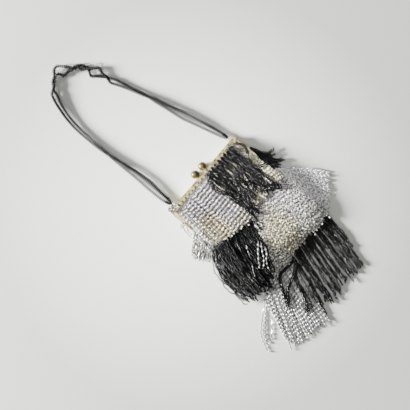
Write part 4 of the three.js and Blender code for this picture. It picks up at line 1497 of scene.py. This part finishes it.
class DressMiddleTier(bpy.types.Operator):
    """Hangs the middle tier of fringe, with its colours the other way round"""

    bl_idname = "evening_bag.middle_tier"
    bl_label = "Middle tier"

    def execute(self, context):
        colours, sway, ragged, rng = fringe_settings(context, 12)
        black = black_shade(colours)
        loose = clear_shade(colours)
        dull = clear_shade(colours, (), 1.0)
        low = combed(MIDDLE_BLACK, 38, rng, sway * 2, ragged * 1.6)
        top = bunched(MIDDLE_BLACK, 4, 11.5, rng, sway * 3, ragged * 2, 0.6, 0.4, 0.9)
        pins = hairpins(MIDDLE_BLACK[:-2], 6, 5, rng, sway * 3, ragged * 2)
        shoulder = combed(BLACK_SHOULDER, 14, rng, sway * 2, ragged * 3, 2.4)
        bright = laid(LOOSE_MIDDLE, rng, sway)
        beside = laid(LOOSE_MIDDLE_BLACK, rng, sway)
        among = laid(CLEAR_AMONG_MIDDLE_BLACK, rng, sway)
        block(
            "middle_black_strands",
            "middle_black_fringe",
            31,
            worn_black_glass(),
            (
                (low, UNDER_PATTERN, black, over_lower_tier, 1.5, None),
                (top, SEED_PATTERN, black, over_lower_tier, 3.8, None),
                (pins, SEED_PATTERN, black, over_lower_tier, 5.2, None),
                (shoulder, SEED_PATTERN, black, over_lower_tier, 8.6, None),
                (beside, SEED_PATTERN, black, over_lower_tier, 6.6, None),
            ),
        )
        block(
            "loose_clear_strands",
            None,
            33,
            clear_glass(),
            (
                (bright, LOOSE_PATTERN, loose, over_lower_tier, 8.2, None),
                (among, FINE_CLEAR_PATTERN, dull, over_lower_tier, 6.4, None),
            ),
        )
        patches = (
            (0.12, 0.84, 0.34, 0.18, colours.cream_bead, 0.8),
            (0.3, 0.66, 0.14, 0.1, colours.cream_bead, 0.4),
            (0.7, 0.6, 0.3, 0.08, colours.lilac_bead, 0.4),
        )
        # Their raised brightness paints light onto a block that slopes away from the key lamp; the cream
        # and lilac patches are the beads' own tints
        shade = clear_shade(colours, patches, 0.25, 1.35)
        low = combed(MIDDLE_CLEAR, 45, rng, sway * 1.4, ragged * 1.4)
        tips = laid(CLEAR_TIPS, rng, sway * 2)
        top = combed(MIDDLE_CLEAR, 48, rng, sway * 1.8, ragged * 1.4)
        block(
            "middle_clear_strands",
            "middle_clear_fringe",
            32,
            clear_glass(),
            (
                (low, CLEAR_PATTERN, shade, over_lower_tier, 1.3, None),
                (top, CLEAR_PATTERN, shade, over_lower_tier, 3.6, None),
                (tips, FLARE_PATTERN, shade, over_lower_tier, 5.2, None),
            ),
        )
        rows = laid(DARK_ROWS, rng, sway)
        block(
            "dark_beads_among_clear",
            None,
            34,
            black_glass(),
            ((rows, DOT_PATTERN, black, over_lower_tier, 5.4, None),),
        )
        return {"FINISHED"}


class DressLowerTier(bpy.types.Operator):
    """Hangs the long lower tier of fringe, which lies on the surface"""

    bl_idname = "evening_bag.lower_tier"
    bl_label = "Lower tier"

    def execute(self, context):
        colours, sway, ragged, rng = fringe_settings(context, 13)
        # The lower clear beads are made brighter as painted light, for a block that slopes away from the
        # key lamp
        shade = clear_shade(colours, (), 0.2, 1.9)
        faint = clear_shade(colours, (), 0.4, 0.8)
        low = combed(LOWER_CLEAR, 24, rng, sway * 1.2, ragged * 2)
        top = combed(LOWER_CLEAR, 24, rng, sway, ragged * 2)
        loose = laid(LOOSE_LOWER, rng, sway)
        block(
            "lower_clear_strands",
            "lower_clear_fringe",
            41,
            clear_glass(),
            (
                (low, ROW_PATTERN, shade, on_surface, 1.4, 0.6),
                (top, ROW_PATTERN, shade, on_surface, 3.6, 0.0),
                (loose, LOOSE_PATTERN, faint, on_surface, 1.8, None),
            ),
        )
        black = black_shade(colours)
        over = laid(LOWER_BLACK_OVER, rng, sway, (-1.9, 0, 1.9))
        over += laid(LOWER_BLACK_ROPES[:1], rng, sway * 1.4, (-2.8, 0, 2.8))
        over += laid(LOWER_BLACK_ROPES[1:] + LOWER_BLACK_HOOKS, rng, sway * 1.4)
        above = laid(LOWER_BLACK_OVER + LOWER_BLACK_ROPES[:1], rng, sway * 2)
        short = combed(LOWER_BLACK, 32, rng, sway, ragged * 3)
        short = [route[: rng.integers(7, 22)] for route in short]
        low = combed(LOWER_BLACK, 25, rng, sway * 1.5, ragged * 2.4, bundles=6)
        high = combed(LOWER_BLACK, 11, rng, sway * 1.3, ragged * 2.4, bundles=6)
        pins = hairpins(LOWER_BLACK, 4, 5, rng, sway * 2, ragged * 2.4)

        def over_clear(x, y, t):
            return on_surface(x, y, t) + TIER

        block(
            "lower_black_strands",
            "lower_black_fringe",
            42,
            black_glass(),
            (
                (over, SEED_PATTERN, black, over_clear, 1.6, None),
                (above, SEED_PATTERN, black, over_clear, 3.9, None),
                (low, SEED_PATTERN, black, on_surface, 1.5, None),
                (short, SEED_PATTERN, black, on_surface, 3.4, None),
                (high, SEED_PATTERN, black, on_surface, 3.6, None),
                (pins, SEED_PATTERN, black, on_surface, 4.2, None),
            ),
        )
        return {"FINISHED"}


class DressSeams(bpy.types.Operator):
    """Hangs the fringe that flares out from the side seams"""

    bl_idname = "evening_bag.seams"
    bl_label = "Seam fringe"

    def execute(self, context):
        colours, sway, ragged, rng = fringe_settings(context, 14)
        # The left flare's beads are darkened as painted shade, and the right flare's made far brighter
        # as painted light, since it lies in the bag's shadow
        shade = clear_shade(colours, (), 0.5, 0.6)
        painted_light_flare = clear_shade(colours, (), 0.2, 3.8)
        left = [combed(LEFT_SEAM, 18, rng, sway * 1.6, ragged * 1.6) for _ in range(2)]
        loose = laid(LEFT_LOOSE, rng, sway)
        block(
            "left_seam_clear_strands",
            "left_seam_clear_fringe",
            51,
            clear_glass(),
            (
                (left[0], FLARE_PATTERN, shade, beside_pouch, 1.4, None),
                (left[1], FLARE_PATTERN, shade, beside_pouch, 3.4, None),
                (loose, FLARE_PATTERN, shade, beside_pouch, 1.8, None),
            ),
        )
        right = [combed(RIGHT_SEAM_CLEAR, 25, rng, sway * 1.4, ragged * 1.6) for _ in range(2)]
        block(
            "right_seam_clear_strands",
            "right_seam_clear_fringe",
            52,
            clear_glass(),
            (
                (right[0], FLARE_PATTERN, painted_light_flare, beside_pouch, 1.4, None),
                (right[1], FLARE_PATTERN, painted_light_flare, beside_pouch, 3.4, None),
            ),
        )
        black = black_shade(colours)
        tassel = bunched(RIGHT_SEAM_BLACK, 4, 7.0, rng, sway * 2, ragged * 2, 0.3, 0.7, 0.5)
        block(
            "right_seam_black_strands",
            "right_seam_black_fringe",
            53,
            black_glass(),
            ((tassel, SEED_PATTERN, black, over_seam_fringe, 1.6, None),),
        )
        return {"FINISHED"}


class DressHandle(bpy.types.Operator):
    """Strings the handle's four bead strings and ties them to the frame's ears"""

    bl_idname = "evening_bag.handle"
    bl_label = "Handle"

    def execute(self, context):
        colours = context.scene.bag_colours
        black = black_shade(colours)
        clear = clear_shade(colours)
        # The handle's clear strings get far brighter beads, which paints light onto strings that lie in
        # the black strings' shade
        bright = clear_shade(colours, (), 0.1, 2.6)
        for index, name in enumerate(("black_1", "clear_1", "black_2", "clear_2")):
            work = Beadwork(61 + index)
            is_black = name.startswith("black")
            pattern = HANDLE_PATTERN if is_black else FINE_CLEAR_PATTERN
            work.thread(handle_string(index, is_black), pattern, black if is_black else bright)
            glass = satin_black_glass() if is_black else clear_glass()
            piece = work.build(f"handle_beads_{name}", glass)
            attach(piece, "root")
            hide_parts(f"handle_string_{name}")
        knot = Beadwork(65)
        for i in range(KNOT_LOOPS):
            aim = 2.4 * i + knot.rng.uniform(-0.4, 0.4)
            reach = np.array(KNOT_REACH) * knot.rng.uniform(0.7, 1.1)
            tip = np.array(KNOT_MIDDLE) + reach * (math.cos(aim), math.sin(aim))
            aside = np.array((-math.sin(aim), math.cos(aim))) * knot.rng.uniform(1.5, 3)
            between = tip * 0.6 + np.array(KNOT_START) * 0.4
            rows = np.array([KNOT_START, between + aside, tip, between - aside, KNOT_END])
            high = KNOT_HEIGHT + KNOT_RISE * (i % 5) / 4
            heights = (KNOT_ROOT_HEIGHT, high, high - 1.5, high, KNOT_ROOT_HEIGHT)
            loop = np.column_stack([rows, heights])
            knot.thread(smooth_route(loop, 8), LOOSE_PATTERN, clear)
        tied = knot.build("left_ear_knot", clear_glass())
        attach(tied, "root")
        strand = Beadwork(66)
        points = np.array(ARM_STRAND, float).reshape(-1, 3)
        strand.thread(smooth_route(points, 8), ARM_PATTERN, black)
        hanging = strand.build("left_arm_strand", satin_black_glass())
        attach(hanging, "root")
        return {"FINISHED"}


def handle_string(index, is_black):
    """The route of one of the handle's strings. The black strings lie side by side and cross over
    in short stretches, and the clear strings run to the right of them."""
    table = np.array(HANDLE_ROUTE, float)
    points = np.column_stack([table[:, 0], SEWING_LINE + table[:, 1], np.zeros(len(table))])
    points[0] = (-EAR_OFFSET, FRAME_TOP + TIED_ABOVE, 0)
    points[-1] = (EAR_OFFSET, FRAME_TOP + TIED_ABOVE, 0)
    middle = smooth_route(points, HANDLE_STEPS)
    length = np.concatenate([[0], np.cumsum(np.linalg.norm(np.diff(middle, axis=0), axis=1))])
    row = np.arange(len(middle)) / HANDLE_STEPS
    apart = np.interp(row, np.arange(len(table)), table[:, 2])
    angle = (np.interp(row, np.arange(len(table)), table[:, 3]) + index) * np.pi / 2
    side = -sideways(middle)
    from_ear = np.minimum(length, length[-1] - length)
    across = np.cos(angle)
    if is_black:
        lying = ON_FLOOR + HANDLE_SPREAD + BLACK_RADIUS + HANDLE_SPREAD * np.sin(angle)
        across = across / np.sqrt(across**2 + CROSS_SHORT)
    else:
        lying = CLEAR_HEIGHT + CLEAR_WAVE * np.sin(angle)
        across = CLEAR_WEAVE * across + CLEAR_ASIDE * np.cos(np.pi * length / length[-1])
    height = FRAME_MIDDLE + (lying - FRAME_MIDDLE) * smooth(from_ear / COMES_DOWN)
    kinked, straight = (smooth((row - start) / KINK_BEGINS) for start in KINK_ROWS)
    kinked = kinked * (1 - straight)
    kinks = np.sin(length / 6.5 + 1.9 * index) + 0.4 * np.sin(length / 2.9 + 2.6 * index)
    opened = smooth(from_ear / COMES_DOWN + 0.2)
    offset = HANDLE_SPREAD * apart * across * opened + KINK_REACH * kinked * kinks
    return np.column_stack([
        middle[:, 0] + side[:, 0] * offset, middle[:, 1] + side[:, 1] * offset, height
    ])


OPERATORS = (
    SetStage,
    DressFrame,
    DressKnobs,
    DressPouch,
    DressUpperTier,
    DressMiddleTier,
    DressLowerTier,
    DressSeams,
    DressHandle,
)


class BagPanel(bpy.types.Panel):
    """Lists the steps that dress the bag"""

    bl_idname = "EVENING_BAG_PT_panel"
    bl_label = "Evening bag"
    bl_space_type = "VIEW_3D"
    bl_region_type = "UI"
    bl_category = "Evening bag"

    def draw(self, context):
        for operator in OPERATORS:
            self.layout.operator(operator.bl_idname)
        for group in (context.scene.bag_colours, context.scene.bag_sizes):
            for name in group.bl_rna.properties.keys():
                if name not in ("rna_type", "name"):
                    self.layout.prop(group, name)


CLASSES = (BagColours, BagSizes, *OPERATORS, BagPanel)


def register():
    """Adds the classes and the scene's settings."""
    for cls in CLASSES:
        bpy.utils.register_class(cls)
    bpy.types.Scene.bag_colours = bpy.props.PointerProperty(type=BagColours)
    bpy.types.Scene.bag_sizes = bpy.props.PointerProperty(type=BagSizes)


def unregister():
    """Takes the classes and the scene's settings away again."""
    del bpy.types.Scene.bag_sizes
    del bpy.types.Scene.bag_colours
    for cls in reversed(CLASSES):
        bpy.utils.unregister_class(cls)


def main():
    """Dresses the whole bag."""
    register()
    for operator in OPERATORS:
        group, name = operator.bl_idname.split(".")
        getattr(getattr(bpy.ops, group), name)()


if __name__ == "__main__":
    main()
